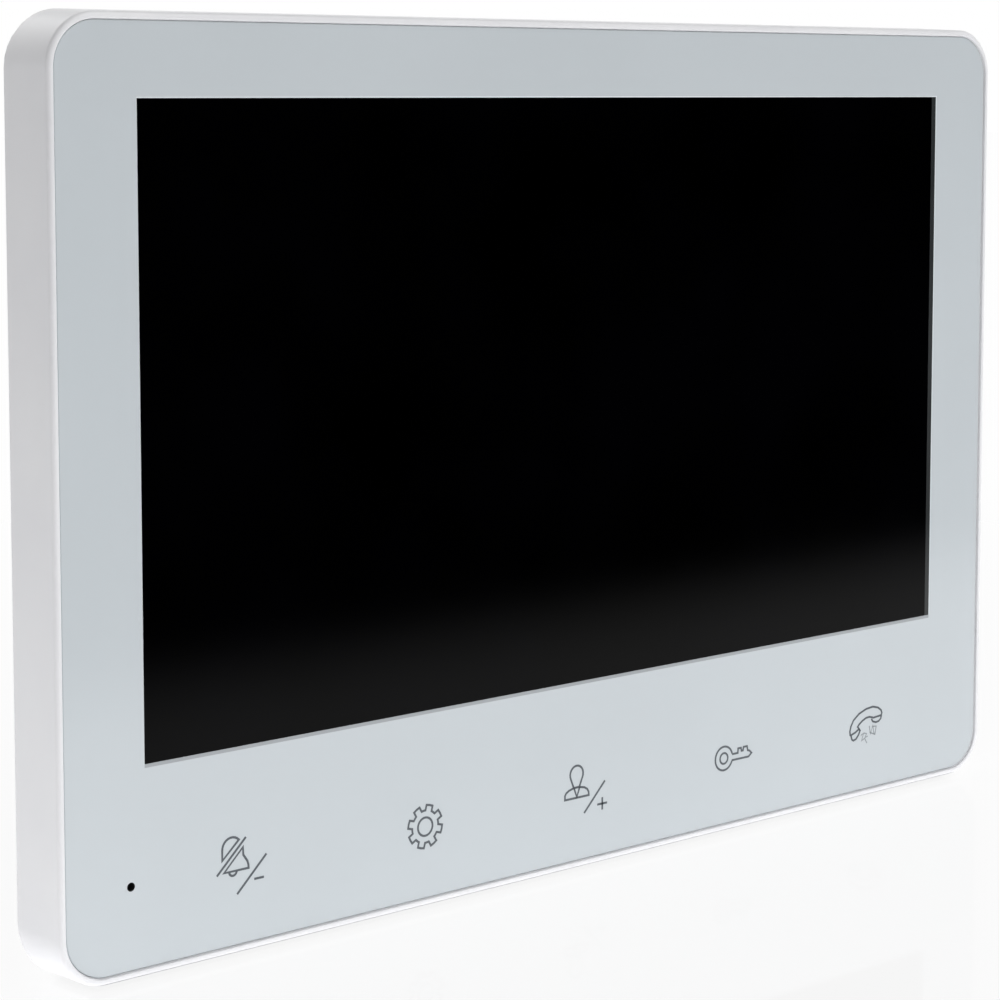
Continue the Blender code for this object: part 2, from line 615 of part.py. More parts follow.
# ---------------------------------------------------------------- boards and what is on them
def make_main_board(materials, parent):
    outline = rounded_outline(BOARD_RIGHT - BOARD_LEFT, BOARD_TOP - BOARD_BOTTOM, BOARD_CORNER,
                              (BOARD_X, (BOARD_BOTTOM + BOARD_TOP) / 2), 2)
    board = prism("main_board", outline, BOARD_FRONT, BOARD_BACK)
    for index, place in enumerate(BOARD_SCREWS):
        cut(board, rod(f"board_hole_{index}", place, BOARD_SCREW[2] + GAP, BOARD_FRONT - 0.001,
                       BOARD_BACK + 0.001))
    finish(board, materials["board"], parent)
    for name, x, drop, width, length, thickness in CHIPS:
        outline = rounded_outline(width, length, 0.0004, (x, BOARD_TOP - drop), 1)
        chip = prism(name, outline, ON_BOARD, ON_BOARD + thickness)
        finish(chip, materials["can" if name == "clock_crystal" else "chip"], parent)
    x, drop, side, height = INDUCTOR
    inductor = prism("power_inductor", rounded_outline(side, side, side / 4,
                                                       (x, BOARD_TOP - drop), 3),
                     ON_BOARD, ON_BOARD + height)
    finish(inductor, materials["chip"], parent)
    for index, (x, drop) in enumerate(CAPACITORS):
        profile = [(0.0, ON_BOARD + CAPACITOR_HEIGHT),
                   (CAPACITOR_RADIUS * 0.9, ON_BOARD + CAPACITOR_HEIGHT),
                   (CAPACITOR_RADIUS, ON_BOARD + CAPACITOR_HEIGHT * 0.94),
                   (CAPACITOR_RADIUS, ON_BOARD), (0.0, ON_BOARD)]
        capacitor = turned(f"capacitor_{index + 1}", (x, BOARD_TOP - drop), profile,
                           SMALL_STEPS)
        finish(capacitor, materials["can"], parent)


def make_sockets(materials, parent):
    first = -(len(SOCKET_NAMES) - 1) / 2
    for index, name in enumerate(SOCKET_NAMES):
        place = ((first + index) * SOCKET_PITCH, SOCKET_Z)
        outline = rounded_outline(SOCKET_WIDTH, SOCKET_DEPTH, 0.0003, place, 1)
        socket = prism(name, outline, ON_BOARD, ON_BOARD + SOCKET_HEIGHT)
        inner = rounded_outline(SOCKET_WIDTH - 2 * SOCKET_WALL, SOCKET_DEPTH - 2 * SOCKET_WALL,
                                0.0002, place, 1)
        cut(socket, prism(name + "_cut", inner, ON_BOARD + SOCKET_FLOOR,
                          ON_BOARD + SOCKET_HEIGHT + 0.001))
        finish(socket, materials["socket"], parent)


def make_touch_board(materials, parent):
    half = TOUCH_BOARD_WIDTH / 2
    bottom = KEY_Z - TOUCH_BOARD_HEIGHT / 2
    top = KEY_Z + TOUCH_BOARD_HEIGHT / 2
    arm_bottom = SWITCH_Z - SWITCH_LENGTH / 2 - GAP
    arm_end = SWITCH_RIGHT - GAP
    outline = [(-half, bottom), (half, bottom), (half, arm_bottom), (arm_end, arm_bottom),
               (arm_end, top), (-half, top)]
    board = prism("touch_board", outline, TOUCH_FRONT, TOUCH_BACK)
    for index, place in enumerate(TOUCH_SCREWS):
        cut(board, rod(f"touch_hole_{index}", place, TOUCH_SCREW[2] + GAP, TOUCH_FRONT - 0.001,
                       TOUCH_BACK + 0.001, 12))
    finish(board, materials["board"], parent)
    for index, x in enumerate(KEY_XS):
        pad = rod(f"key_pad_{index + 1}", (x, KEY_Z), KEY_PAD_RADIUS, GLASS_BACK + GAP,
                  TOUCH_FRONT - GAP, ROUND_STEPS)
        finish(pad, materials["foam"], parent)


def make_cables(materials, parent):
    on_board = ON_BOARD + RIBBON_THICKNESS / 2
    end_z = BOARD_BOTTOM + RIBBON_OVERLAP
    lcd_start = BACKLIGHT_FRONT + RIBBON_THICKNESS
    turn_z = LCD_BOTTOM - 3.5 * GAP
    behind_plate = PLATE_BACK + 4 * GAP
    x, width = LCD_RIBBON
    route = [(lcd_start, LCD_BOTTOM - GAP), (lcd_start + GAP, turn_z + GAP),
             (lcd_start + 3 * GAP, turn_z), (behind_plate - 3 * GAP, turn_z),
             (behind_plate, turn_z + 2 * GAP), (on_board - GAP, BOARD_BOTTOM - 0.004),
             (on_board, BOARD_BOTTOM - 0.003), (on_board, end_z)]
    finish(ribbon("lcd_cable", x, width, route), materials["ribbon"], parent)
    make_connector("lcd_connector", x, width, end_z, materials, parent)

    x, width = TOUCH_RIBBON
    start_z = KEY_Z + TOUCH_BOARD_HEIGHT / 4
    start = TOUCH_BACK + GAP + RIBBON_THICKNESS / 2
    route = [(start, start_z), (start, start_z + 0.002), (start + 0.0006, start_z + 0.0028),
             (on_board - 0.001, BOARD_BOTTOM - 0.006), (on_board, BOARD_BOTTOM - 0.004),
             (on_board, end_z)]
    finish(ribbon("touch_cable", x, width, route), materials["ribbon"], parent)
    make_connector("touch_connector", x, width, end_z, materials, parent)

    mic_back = GLASS_BACK + GAP + BOOT_FRONT + 2 * GAP + MIC_LENGTH + LEAD_RADIUS
    lead_y = ON_BOARD + LEAD_RADIUS
    finish(lead("microphone_lead", [
        (MIC_X, mic_back, MIC_Z), (MIC_X, lead_y - 0.002, MIC_Z + 0.001),
        (MIC_X + 0.002, lead_y + 0.001, MIC_Z + 0.008),
        (BOARD_LEFT - 0.003, lead_y + 0.001, BAY_BOTTOM),
        (BOARD_LEFT - 0.001, lead_y + 0.001, BAY_BOTTOM + 0.010),
        (BOARD_LEFT + 0.003, lead_y, BAY_BOTTOM + 0.012),
        (BOARD_LEFT + 0.006, lead_y, BAY_BOTTOM + 0.012)]),
        materials["lead"], parent)
    start_x = SPEAKER_X - SPEAKER_RADIUS * 0.62
    finish(lead("speaker_lead", [
        (start_x, ON_BOARD - 0.0016, SPEAKER_Z - 0.011), (BOARD_RIGHT + 0.004, ON_BOARD - 0.001,
                                                          SPEAKER_Z - 0.0125),
        (BOARD_RIGHT + 0.001, lead_y + 0.0004, SPEAKER_Z - 0.0125),
        (BOARD_RIGHT - 0.003, lead_y, SPEAKER_Z - 0.0125)]), materials["lead"], parent)


def make_connector(name, x, width, ribbon_end, materials, parent):
    low = (x - width / 2 - 0.001, ON_BOARD, ribbon_end + GAP)
    high = (x + width / 2 + 0.001, ON_BOARD + CONNECTOR_HEIGHT, ribbon_end + GAP
            + CONNECTOR_DEPTH)
    return finish(block(name, low, high), materials["socket"], parent)


def make_microphone(materials, parent):
    centre = (MIC_X, MIC_Z)
    front = GLASS_BACK + GAP
    inner = MIC_RADIUS + GAP
    outer = inner + BOOT_WALL
    floor = front + BOOT_FRONT
    boot = turned("microphone_boot", centre, [
        (BOOT_HOLE_RADIUS, front), (outer, front), (outer, front + BOOT_LENGTH),
        (inner, front + BOOT_LENGTH), (inner, floor), (BOOT_HOLE_RADIUS, floor)])
    finish(boot, materials["rubber"], parent)
    capsule = rod("microphone", centre, MIC_RADIUS, floor + GAP, floor + GAP + MIC_LENGTH,
                  ROUND_STEPS)
    finish(capsule, materials["can"], parent)


def make_speaker(materials, parent):
    centre = (SPEAKER_X, SPEAKER_Z)
    rim_back = COVER_INNER - SPEAKER_GASKET - 2 * GAP
    rim_front = rim_back - SPEAKER_RIM
    front = PLATE_BACK + GAP
    shoulder = front + MAGNET_HEIGHT + GAP
    inner = SPEAKER_RADIUS - SPEAKER_SURROUND
    neck = MAGNET_RADIUS + 2 * GAP
    frame = turned("speaker_frame", centre, [
        (SPEAKER_RADIUS, rim_back), (SPEAKER_RADIUS, rim_front), (inner, rim_front),
        (neck, shoulder + 0.0008), (neck, shoulder), (MAGNET_RADIUS * 0.45, shoulder),
        (MAGNET_RADIUS * 0.45, shoulder + 0.0005), (neck - 0.0008, shoulder + 0.0005),
        (inner - 0.0004, rim_front + 0.0003), (inner - 0.0004, rim_back)], ROUND_STEPS)
    finish(frame, materials["frame"], parent)
    magnet = rod("speaker_magnet", centre, MAGNET_RADIUS, front, front + MAGNET_HEIGHT,
                 ROUND_STEPS)
    finish(magnet, materials["steel"], parent)
    edge = inner - 0.0004 - GAP
    depth = rim_front + 0.0006
    cone = turned("speaker_cone", centre, [
        (0.0, depth), (edge * 0.25, depth - 0.0003), (edge * 0.42, depth - 0.0012),
        (edge * 0.8, depth - 0.0002), (edge, depth), (edge, depth - CONE_WALL),
        (edge * 0.8, depth - 0.0002 - CONE_WALL), (edge * 0.42, depth - 0.0012 - CONE_WALL),
        (edge * 0.25, depth - 0.0003 - CONE_WALL), (0.0, depth - CONE_WALL)], ROUND_STEPS)
    finish(cone, materials["cone"], parent)
    gasket = turned("speaker_gasket", centre, [
        (SPEAKER_RADIUS - GAP, rim_back + GAP), (SPEAKER_RADIUS - GAP, COVER_INNER - GAP),
        (inner, COVER_INNER - GAP), (inner, rim_back + GAP)], ROUND_STEPS)
    finish(gasket, materials["foam"], parent)


# ---------------------------------------------------------------- power switch
def make_power_switch(materials, parent, knob_parent):
    body = block("power_switch_body",
                 (SWITCH_RIGHT - SWITCH_WIDTH, SWITCH_Y - SWITCH_THICKNESS / 2,
                  SWITCH_Z - SWITCH_LENGTH / 2),
                 (SWITCH_RIGHT, SWITCH_Y + SWITCH_THICKNESS / 2, SWITCH_Z + SWITCH_LENGTH / 2))
    finish(body, materials["can"], parent)
    length = KNOB_LENGTH / 2
    thickness = KNOB_THICKNESS / 2
    start = SWITCH_RIGHT + GAP
    end = CASE_WIDTH / 2 + EDGE_FLARE + KNOB_PROUD
    builder = bmesh.new()
    rings = []
    for x, trim in ((start, 0.0), (end - 0.0003, 0.0), (end, 0.0003)):
        rings.append([builder.verts.new((x - end, y, z)) for y, z in
                      ((-thickness + trim, -length + trim), (thickness - trim, -length + trim),
                       (thickness - trim, length - trim), (-thickness + trim, length - trim))])
    for first, second in zip(rings, rings[1:]):
        for index in range(4):
            following = (index + 1) % 4
            builder.faces.new((first[index], first[following], second[following], second[index]))
    builder.faces.new(rings[0])
    builder.faces.new(rings[-1])
    knob = new_object("power_switch_knob", builder)
    knob_parent.location = (end, SWITCH_Y, KNOB_Z)
    finish(knob, materials["knob"], knob_parent)


# ---------------------------------------------------------------- rear cover
def cover_inset(depth):
    """Inset of the cover's outer face at a depth y, measured from the case's front outline."""
    run = max(depth - SLOPE_START, 0.0)
    return STEP_INSET + COVER_TAPER * run


def make_rear_cover(plastic, parent):
    tongue_outer = HOUSING_WALL + GAP
    tongue_inner = tongue_outer + TONGUE_WALL
    cover = loft("rear_cover", [
        (PART_Y - TONGUE_DEPTH, case_outline(tongue_outer)),
        (COVER_FRONT, case_outline(tongue_outer)),
        (COVER_FRONT, case_outline(STEP_INSET)),
        (SLOPE_START, case_outline(STEP_INSET)),
        (COVER_EDGE_START, case_outline(COVER_BACK_INSET)),
        (COVER_EDGE_START + COVER_EDGE_ROUND / 2,
         case_outline(COVER_BACK_INSET + COVER_EDGE_ROUND * 0.42)),
        (COVER_BACK, case_outline(COVER_BACK_INSET + COVER_EDGE_ROUND * 1.2))])

    slope_meets = SLOPE_START + (tongue_inner - COVER_WALL - STEP_INSET) / COVER_TAPER
    inner_back = cover_inset(COVER_INNER) + COVER_WALL
    cavity = loft("cover_cavity_cut", [
        (PART_Y - TONGUE_DEPTH - 0.001, case_outline(tongue_inner)),
        (slope_meets, case_outline(tongue_inner)),
        (COVER_INNER, case_outline(inner_back))])
    for index, place in enumerate(CASE_SCREWS):
        cut(cavity, rod(f"cover_column_{index}", place, COLUMN_RADIUS, COVER_FRONT, 0.001))
    recess_low = -BRACKET_HEIGHT / 2 - LIFT_TRAVEL - RECESS_CLEARANCE
    recess_high = BRACKET_HEIGHT / 2 + RECESS_CLEARANCE
    recess_half = BRACKET_WIDTH / 2 + RECESS_CLEARANCE
    wall = COVER_WALL
    cut(cavity, block("recess_shell", (-recess_half - wall, RECESS_INNER, recess_low - wall),
                      (recess_half + wall, 0.001, recess_high + wall)))
    rib_outer = SPEAKER_RADIUS + GAP + RIB_WALL
    rib = turned("speaker_rib", (SPEAKER_X, SPEAKER_Z), [
        (rib_outer, 0.001), (rib_outer, COVER_INNER - RIB_HEIGHT),
        (SPEAKER_RADIUS + GAP, COVER_INNER - RIB_HEIGHT), (SPEAKER_RADIUS + GAP, 0.001)])
    cut(cavity, rib)
    cut(cover, cavity)

    recess = rounded_outline(2 * recess_half, recess_high - recess_low, BRACKET_CORNER,
                             (0.0, (recess_high + recess_low) / 2), 3)
    cut(cover, prism("recess_cut", recess, RECESS_FLOOR, 0.001))
    bay = rounded_outline(BAY_WIDTH, BAY_HEIGHT, BAY_CORNER, (0.0, BAY_Z), 2)
    cut(cover, prism("bay_cut", bay, RECESS_INNER - 0.001, 0.001))
    for side in (-1, 1):
        for index, hook_z in enumerate(HOOK_ZS):
            half = HOOK_WIDTH / 2 + HOOK_SIDE_CLEARANCE
            low = (side * HOOK_X - half, RECESS_INNER - 0.001,
                   hook_z - BRACKET_THICKNESS - LIFT_TRAVEL - GAP)
            high = (side * HOOK_X + half, 0.001, hook_z + GAP)
            cut(cover, block(f"hook_slot_{side}_{index}", low, high))
    for index, place in enumerate(CASE_SCREWS):
        cut(cover, rod(f"boss_clear_{index}", place, BOSS_RADIUS + GAP,
                       PART_Y - TONGUE_DEPTH - 0.001, COVER_FRONT),
            rod(f"case_hole_{index}", place, CASE_SCREW[2] + GAP, COVER_FRONT - 0.0005, 0.001),
            rod(f"head_recess_{index}", place, CASE_SCREW[0] + 2 * GAP,
                COVER_FRONT + SCREW_SEAT, 0.001))
    cut_ear_notches(cover)
    make_grille(cover)
    make_vents(cover)
    return finish(cover, plastic, parent)


def cut_ear_notches(cover):
    """Room in the cover's tongue for the chassis ears, their screw heads and the switch."""
    reach = CASE_WIDTH / 2 - HOUSING_WALL - GAP / 2
    back = PLATE_BACK + CHASSIS_SCREW[1] + 2 * GAP
    for index, z in enumerate(CHASSIS_SCREW_Z):
        half = EAR_HEIGHT / 2 + GAP
        cut(cover, block(f"ear_notch_{index}", (-reach, PART_Y - TONGUE_DEPTH - 0.001, z - half),
                         (reach, back, z + half)))
    half = SWITCH_LENGTH / 2 + GAP
    cut(cover, block("switch_notch", (SWITCH_RIGHT - SWITCH_WIDTH - GAP,
                                      PART_Y - TONGUE_DEPTH - 0.001, SWITCH_Z - half),
                     (reach, SWITCH_Y + SWITCH_THICKNESS / 2 + GAP, SWITCH_Z + half)))


def make_grille(cover):
    """Upright slots across the speaker's opening, each as long as the circle allows."""
    reach = SPEAKER_RADIUS - SPEAKER_SURROUND - 0.001
    pitch = 2 * reach / (GRILLE_SLOTS + 0.2)
    for index in range(GRILLE_SLOTS):
        offset = (index - (GRILLE_SLOTS - 1) / 2) * pitch
        half = math.sqrt(reach ** 2 - offset ** 2)
        slot = rounded_outline(GRILLE_SLOT_WIDTH, 2 * half, GRILLE_SLOT_WIDTH * 0.49,
                               (SPEAKER_X + offset, SPEAKER_Z), 3)
        cut(cover, prism(f"grille_cut_{index}", slot, COVER_INNER - 0.0005, 0.001))


def make_vents(cover):
    for index in range(VENT_COUNT):
        x = (index - (VENT_COUNT - 1) / 2) * VENT_PITCH
        slot = rounded_outline(VENT_WIDTH, VENT_LENGTH, VENT_WIDTH * 0.49, (x, VENT_Z), 3)
        cut(cover, prism(f"vent_cut_{index}", slot, COVER_INNER - 0.0005, 0.001))


# ---------------------------------------------------------------- fasteners
def make_screws(steel, parent):
    groups = (("case_screw", CASE_SCREWS, COVER_FRONT + SCREW_SEAT, CASE_SCREW),
              ("chassis_screw", CHASSIS_SCREWS, PLATE_BACK, CHASSIS_SCREW),
              ("board_screw", BOARD_SCREWS, BOARD_BACK, BOARD_SCREW),
              ("touch_board_screw", TOUCH_SCREWS, TOUCH_BACK, TOUCH_SCREW))
    for name, places, seat, sizes in groups:
        for index, place in enumerate(places):
            screw(f"{name}_{index + 1}", place, seat, sizes, steel, parent)


def make_empty(name, parent=None):
    empty = bpy.data.objects.new(name, None)
    bpy.context.scene.collection.objects.link(empty)
    empty.parent = parent
    return empty


def build():
    for item in list(bpy.data.objects):
        bpy.data.objects.remove(item, do_unlink=True)
    materials = {
        "white": make_material("white_abs", (0.80, 0.81, 0.82), 0.35),
        "glass": make_material("front_glass", (0.62, 0.66, 0.70), 0.08),
        "screen": make_material("screen", (0.01, 0.01, 0.012), 0.10),
        "foam": make_material("black_foam", (0.03, 0.03, 0.03), 0.90),
        "steel": make_material("zinc_plated_steel", (0.60, 0.61, 0.60), 0.35, 1.0),
        "board": make_material("circuit_board", (0.02, 0.14, 0.06), 0.40),
        "chip": make_material("chip_black", (0.02, 0.02, 0.022), 0.45),
        "can": make_material("plated_can", (0.70, 0.70, 0.68), 0.25, 1.0),
        "socket": make_material("socket_ivory", (0.78, 0.74, 0.62), 0.40),
        "ribbon": make_material("ribbon_amber", (0.55, 0.26, 0.05), 0.35),
        "lead": make_material("lead_black", (0.03, 0.03, 0.035), 0.50),
        "rubber": make_material("boot_rubber", (0.03, 0.03, 0.03), 0.80),
        "frame": make_material("speaker_basket", (0.05, 0.05, 0.05), 0.50),
        "cone": make_material("speaker_paper", (0.04, 0.04, 0.04), 0.85),
        "knob": make_material("knob_grey", (0.20, 0.21, 0.22), 0.45),
    }
    wall = make_empty("wall_frame")
    monitor = make_empty("monitor_lift", wall)
    knob_slide = make_empty("power_switch_slide", monitor)
    make_bracket(materials["steel"], wall)
    make_front_housing(materials["white"], monitor)
    make_glass(materials["glass"], monitor)
    make_display(materials, monitor)
    make_chassis_plate(materials["steel"], monitor)
    make_main_board(materials, monitor)
    make_sockets(materials, monitor)
    make_touch_board(materials, monitor)
    make_cables(materials, monitor)
    make_microphone(materials, monitor)
    make_speaker(materials, monitor)
    make_power_switch(materials, monitor, knob_slide)
    make_rear_cover(materials["white"], monitor)
    make_screws(materials["steel"], monitor)


build()
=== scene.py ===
import math

import bmesh
import bpy
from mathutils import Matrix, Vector
from mathutils.geometry import tessellate_polygon


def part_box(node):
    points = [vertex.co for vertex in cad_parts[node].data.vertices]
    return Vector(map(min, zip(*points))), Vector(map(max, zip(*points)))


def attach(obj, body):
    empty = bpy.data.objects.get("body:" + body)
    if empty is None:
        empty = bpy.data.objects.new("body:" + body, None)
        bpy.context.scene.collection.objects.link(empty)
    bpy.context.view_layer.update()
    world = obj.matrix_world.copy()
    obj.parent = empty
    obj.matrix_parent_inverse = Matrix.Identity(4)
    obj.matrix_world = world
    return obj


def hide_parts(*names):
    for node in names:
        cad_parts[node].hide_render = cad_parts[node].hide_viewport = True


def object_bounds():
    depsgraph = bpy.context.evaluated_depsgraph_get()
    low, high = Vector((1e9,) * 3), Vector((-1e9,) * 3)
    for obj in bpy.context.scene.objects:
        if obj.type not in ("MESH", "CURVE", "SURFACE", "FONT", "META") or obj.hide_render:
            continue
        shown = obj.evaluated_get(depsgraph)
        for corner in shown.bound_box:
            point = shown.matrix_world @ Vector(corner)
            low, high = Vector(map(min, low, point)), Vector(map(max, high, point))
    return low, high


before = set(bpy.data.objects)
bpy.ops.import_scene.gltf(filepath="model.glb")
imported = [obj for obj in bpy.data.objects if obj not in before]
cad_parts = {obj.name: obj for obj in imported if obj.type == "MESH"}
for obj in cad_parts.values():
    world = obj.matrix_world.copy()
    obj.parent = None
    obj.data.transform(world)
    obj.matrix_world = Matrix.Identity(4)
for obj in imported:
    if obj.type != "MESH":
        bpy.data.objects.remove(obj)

MM = 0.001
CAD_BOX = [list(corner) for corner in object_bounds()]

# ---------------------------------------------------------------- sizes
HOUSING_LOW, HOUSING_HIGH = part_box("front_housing")
GLASS_LOW, GLASS_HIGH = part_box("front_glass")
KNOB_LOW, KNOB_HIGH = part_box("power_switch_knob")

EDGE_FLARE = 0.45 * MM              # parting edge outside the front outline
HALF_WIDTH = HOUSING_HIGH.x - EDGE_FLARE
HALF_HEIGHT = HOUSING_HIGH.z - EDGE_FLARE
CORNER_RADIUS = 7.2 * MM
CORNER_STEPS = 24
CIRCLE_POINTS = 48
SHARP_ANGLE = 32                    # degrees from which an edge stays hard
LIP_ROUND = 0.65 * MM
LIP_WIDTH = 0.95 * MM
LIP_INNER_ROUND = 0.15 * MM
PARTING_ROUND = 0.3 * MM
WALL = 2.0 * MM
FLANGE_REACH = 4.2 * MM             # inner edge of the flange under the glass
FLANGE_BEHIND_GLASS = 1.0 * MM
FLANGE_THICKNESS = 1.5 * MM
SLOT_CLEARANCE = 0.35 * MM
SLOT_ROUND = 0.3 * MM
SWITCH_TRAVEL = 3.0 * MM

GLASS_FIT = 0.17 * MM               # edge of the glass grown into the clearance round it
GLASS_INSET = HALF_WIDTH - GLASS_HIGH.x - GLASS_FIT
GLASS_ROUND = 0.2 * MM
WINDOW_HALF_WIDTH = 77.3 * MM
WINDOW_TOP = 51.8 * MM
WINDOW_BOTTOM = -34.6 * MM
BORDER_WIDTH = 1.0 * MM             # display's frame seen inside the window
PAINTED_SHADOW_BAND = 0.5 * MM              # painted shadow along the print's edge under the window
PAINTED_HIGHLIGHT_LINE = 0.16 * MM              # painted highlight along the print's edge over and beside the window
MIC_HOLE_RADIUS = 0.56 * MM
MIC_CHAMFER = 0.04 * MM
GROOVE_DEPTH = 0.12 * MM            # groove round the glass, below its face
GROOVE_SHELF = 0.1 * MM             # shelf that closes most of the groove

INK_LINE = 0.33 * MM
INK_FINE_LINE = 0.2 * MM
INK_PROUD = 0.015 * MM
INK_THICKNESS = 0.03 * MM

PIN_COUNT = 4
PIN_PITCH = 2.5 * MM
PIN_HALF = 0.3 * MM
SOCKET_FLOOR = 0.8 * MM
PIN_BELOW_RIM = 0.9 * MM
PIN_TAPER = 0.5 * MM

SCREW_HEAD = 0.55                   # depth of a screw's head; shares of the head's radius
SCREW_SHANK = 0.5
RECESS_WIDTH = 0.1                  # half the width of a bar of the cross
RECESS_REACH = 0.5
RECESS_TIP = 0.25                   # reach of the bars at the bottom of the recess
RECESS_DEPTH = 0.75                 # share of the head's depth

CLOTH_MARGIN = 0.4 * MM             # gasket seen round the speaker cloth

# ---------------------------------------------------------------- stage sizes
FLOOR_Z = CAD_BOX[0][2] - 0.2 * MM
FLOOR_HALF = 6.0
FLOOR_WHITE_NEAR = 0.93             # whiteness of the floor under the object
FLOOR_WHITE_FAR = 1.0
FLOOR_FADE = (0.1, 0.45)            # from where to where the floor turns wholly white
FLOOR_GLOSS = 0.05
FLOOR_POLISH = 0.03                 # roughness of the floor's gloss

FLAG_LIFT = 1.5 * MM
FLAG_NEAR = -0.115                  # where the card starts to fade in, towards the viewer
FLAG_SOLID = -0.205
FLAG_FAR = -3.0
FLAG_TOP = 0.8

SKY_LEVEL = 0.25
SOFTBOX_SIZE = (1.2, 1.2)
KEY_PLACE = (0.6, -1.0, 1.5)
KEY_WATTS = 18.5
REAR_PLACE = (-0.3, 1.4, 0.9)
REAR_WATTS = 9.0
BOUNCE_CENTRE = (0.15, -0.14)
BOUNCE_LIFT = 0.5 * MM
BOUNCE_SIZE = (0.8, 0.5)
BOUNCE_WATTS = 1.35

CAMERA_LENS = 95.85
CAMERA_SENSOR = 36.0
CAMERA_SHIFT = -0.17
CAMERA_PLACE = (-0.2617, -0.3098, 0.0524)
CAMERA_YAW = 40.23                  # degrees to the right of straight ahead
CAMERA_PITCH = 5.08                 # degrees downwards


# ---------------------------------------------------------------- mesh helpers
def arc(centre, radius, start, end, steps):
    """Points on a circle in a plane, from start to end in degrees."""
    points = []
    for step in range(steps + 1):
        angle = math.radians(start + (end - start) * step / steps)
        points.append((centre[0] + radius * math.cos(angle),
                       centre[1] + radius * math.sin(angle)))
    return points


def circle(centre, radius, count=CIRCLE_POINTS):
    """Points all round a circle."""
    return arc(centre, radius, 0, 360 - 360 / count, count - 1)


def rounded(half_width, half_height, radius, centre=(0.0, 0.0), steps=CORNER_STEPS):
    """Outline of a rounded rectangle, counter-clockwise from the right side."""
    points = []
    for side_x, side_z, start in ((1, 1, 0), (-1, 1, 90), (-1, -1, 180), (1, -1, 270)):
        corner = (centre[0] + side_x * (half_width - radius),
                  centre[1] + side_z * (half_height - radius))
        points += arc(corner, radius, start, start + 90, steps)
    return points


def case_outline(inset):
    """The case's front outline, moved inwards."""
    return rounded(HALF_WIDTH - inset, HALF_HEIGHT - inset, CORNER_RADIUS - inset)


def ring_of(builder, outline, depth):
    """Vertices along an outline (x, z) at one depth."""
    return [builder.verts.new((x, depth, z)) for x, z in outline]


def bridge(builder, first, second, material=0):
    """Faces between two closed rings of vertices."""
    count = len(first)
    for index in range(count):
        following = (index + 1) % count
        face = builder.faces.new((first[index], first[following],
                                  second[following], second[index]))
        face.material_index = material


def bridge_all(builder, rings):
    """Faces from each ring to the next."""
    for first, second in zip(rings, rings[1:]):
        bridge(builder, first, second)


def close_up(builder, rings):
    """A closed solid: faces from ring to ring, and one over each end."""
    bridge_all(builder, rings)
    builder.faces.new(rings[0])
    builder.faces.new(rings[-1])


def fill(builder, loops):
    """Flat faces between an outer loop of vertices and the loops inside it."""
    vertices = [vertex for loop in loops for vertex in loop]
    outlines = [[vertex.co.copy() for vertex in loop] for loop in loops]
    for triangle in tessellate_polygon(outlines):
        builder.faces.new([vertices[index] for index in triangle])


def piece(name, builder, body, materials, node=None, crisp=True):
    """A finished mesh that rides on a body, and stands for a CAD node if one is named."""
    bmesh.ops.recalc_face_normals(builder, faces=builder.faces)
    mesh = bpy.data.meshes.new(name)
    builder.to_mesh(mesh)
    builder.free()
    made = bpy.data.objects.new(name, mesh)
    bpy.context.scene.collection.objects.link(made)
    for material in materials:
        mesh.materials.append(material)
    smooth(made, crisp)
    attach(made, body)
    if node:
        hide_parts(node)
    return made


def smooth(made, crisp=True):
    """Smooth shading with hard edges kept; crisp also evens out the flat faces."""
    made.data.shade_smooth()
    made.data.set_sharp_from_angle(angle=math.radians(SHARP_ANGLE))
    if crisp:
        weighted = made.modifiers.new("even_normals", "WEIGHTED_NORMAL")
        weighted.keep_sharp = True


def carve(made, builder):
    """Cuts the builder's shape out of a piece's mesh."""
    bmesh.ops.recalc_face_normals(builder, faces=builder.faces)
    mesh = bpy.data.meshes.new("cutter")
    builder.to_mesh(mesh)
    builder.free()
    tool = bpy.data.objects.new("cutter", mesh)
    bpy.context.scene.collection.objects.link(tool)
    made.modifiers.clear()
    boolean = made.modifiers.new("carve", "BOOLEAN")
    boolean.operation = "DIFFERENCE"
    boolean.object = tool
    bpy.context.view_layer.update()
    evaluated = made.evaluated_get(bpy.context.evaluated_depsgraph_get())
    carved = bpy.data.meshes.new_from_object(evaluated)
    carved.name = made.name
    made.modifiers.clear()
    made.data = carved
    bpy.data.objects.remove(tool)
    smooth(made)


# ---------------------------------------------------------------- materials
def linear(red, green, blue):
    """Linear colour from display values of 0 to 255."""
    values = []
    for value in (red, green, blue):
        share = value / 255
        values.append(share / 12.92 if share <= 0.04045 else ((share + 0.055) / 1.055) ** 2.4)
    return (*values, 1.0)


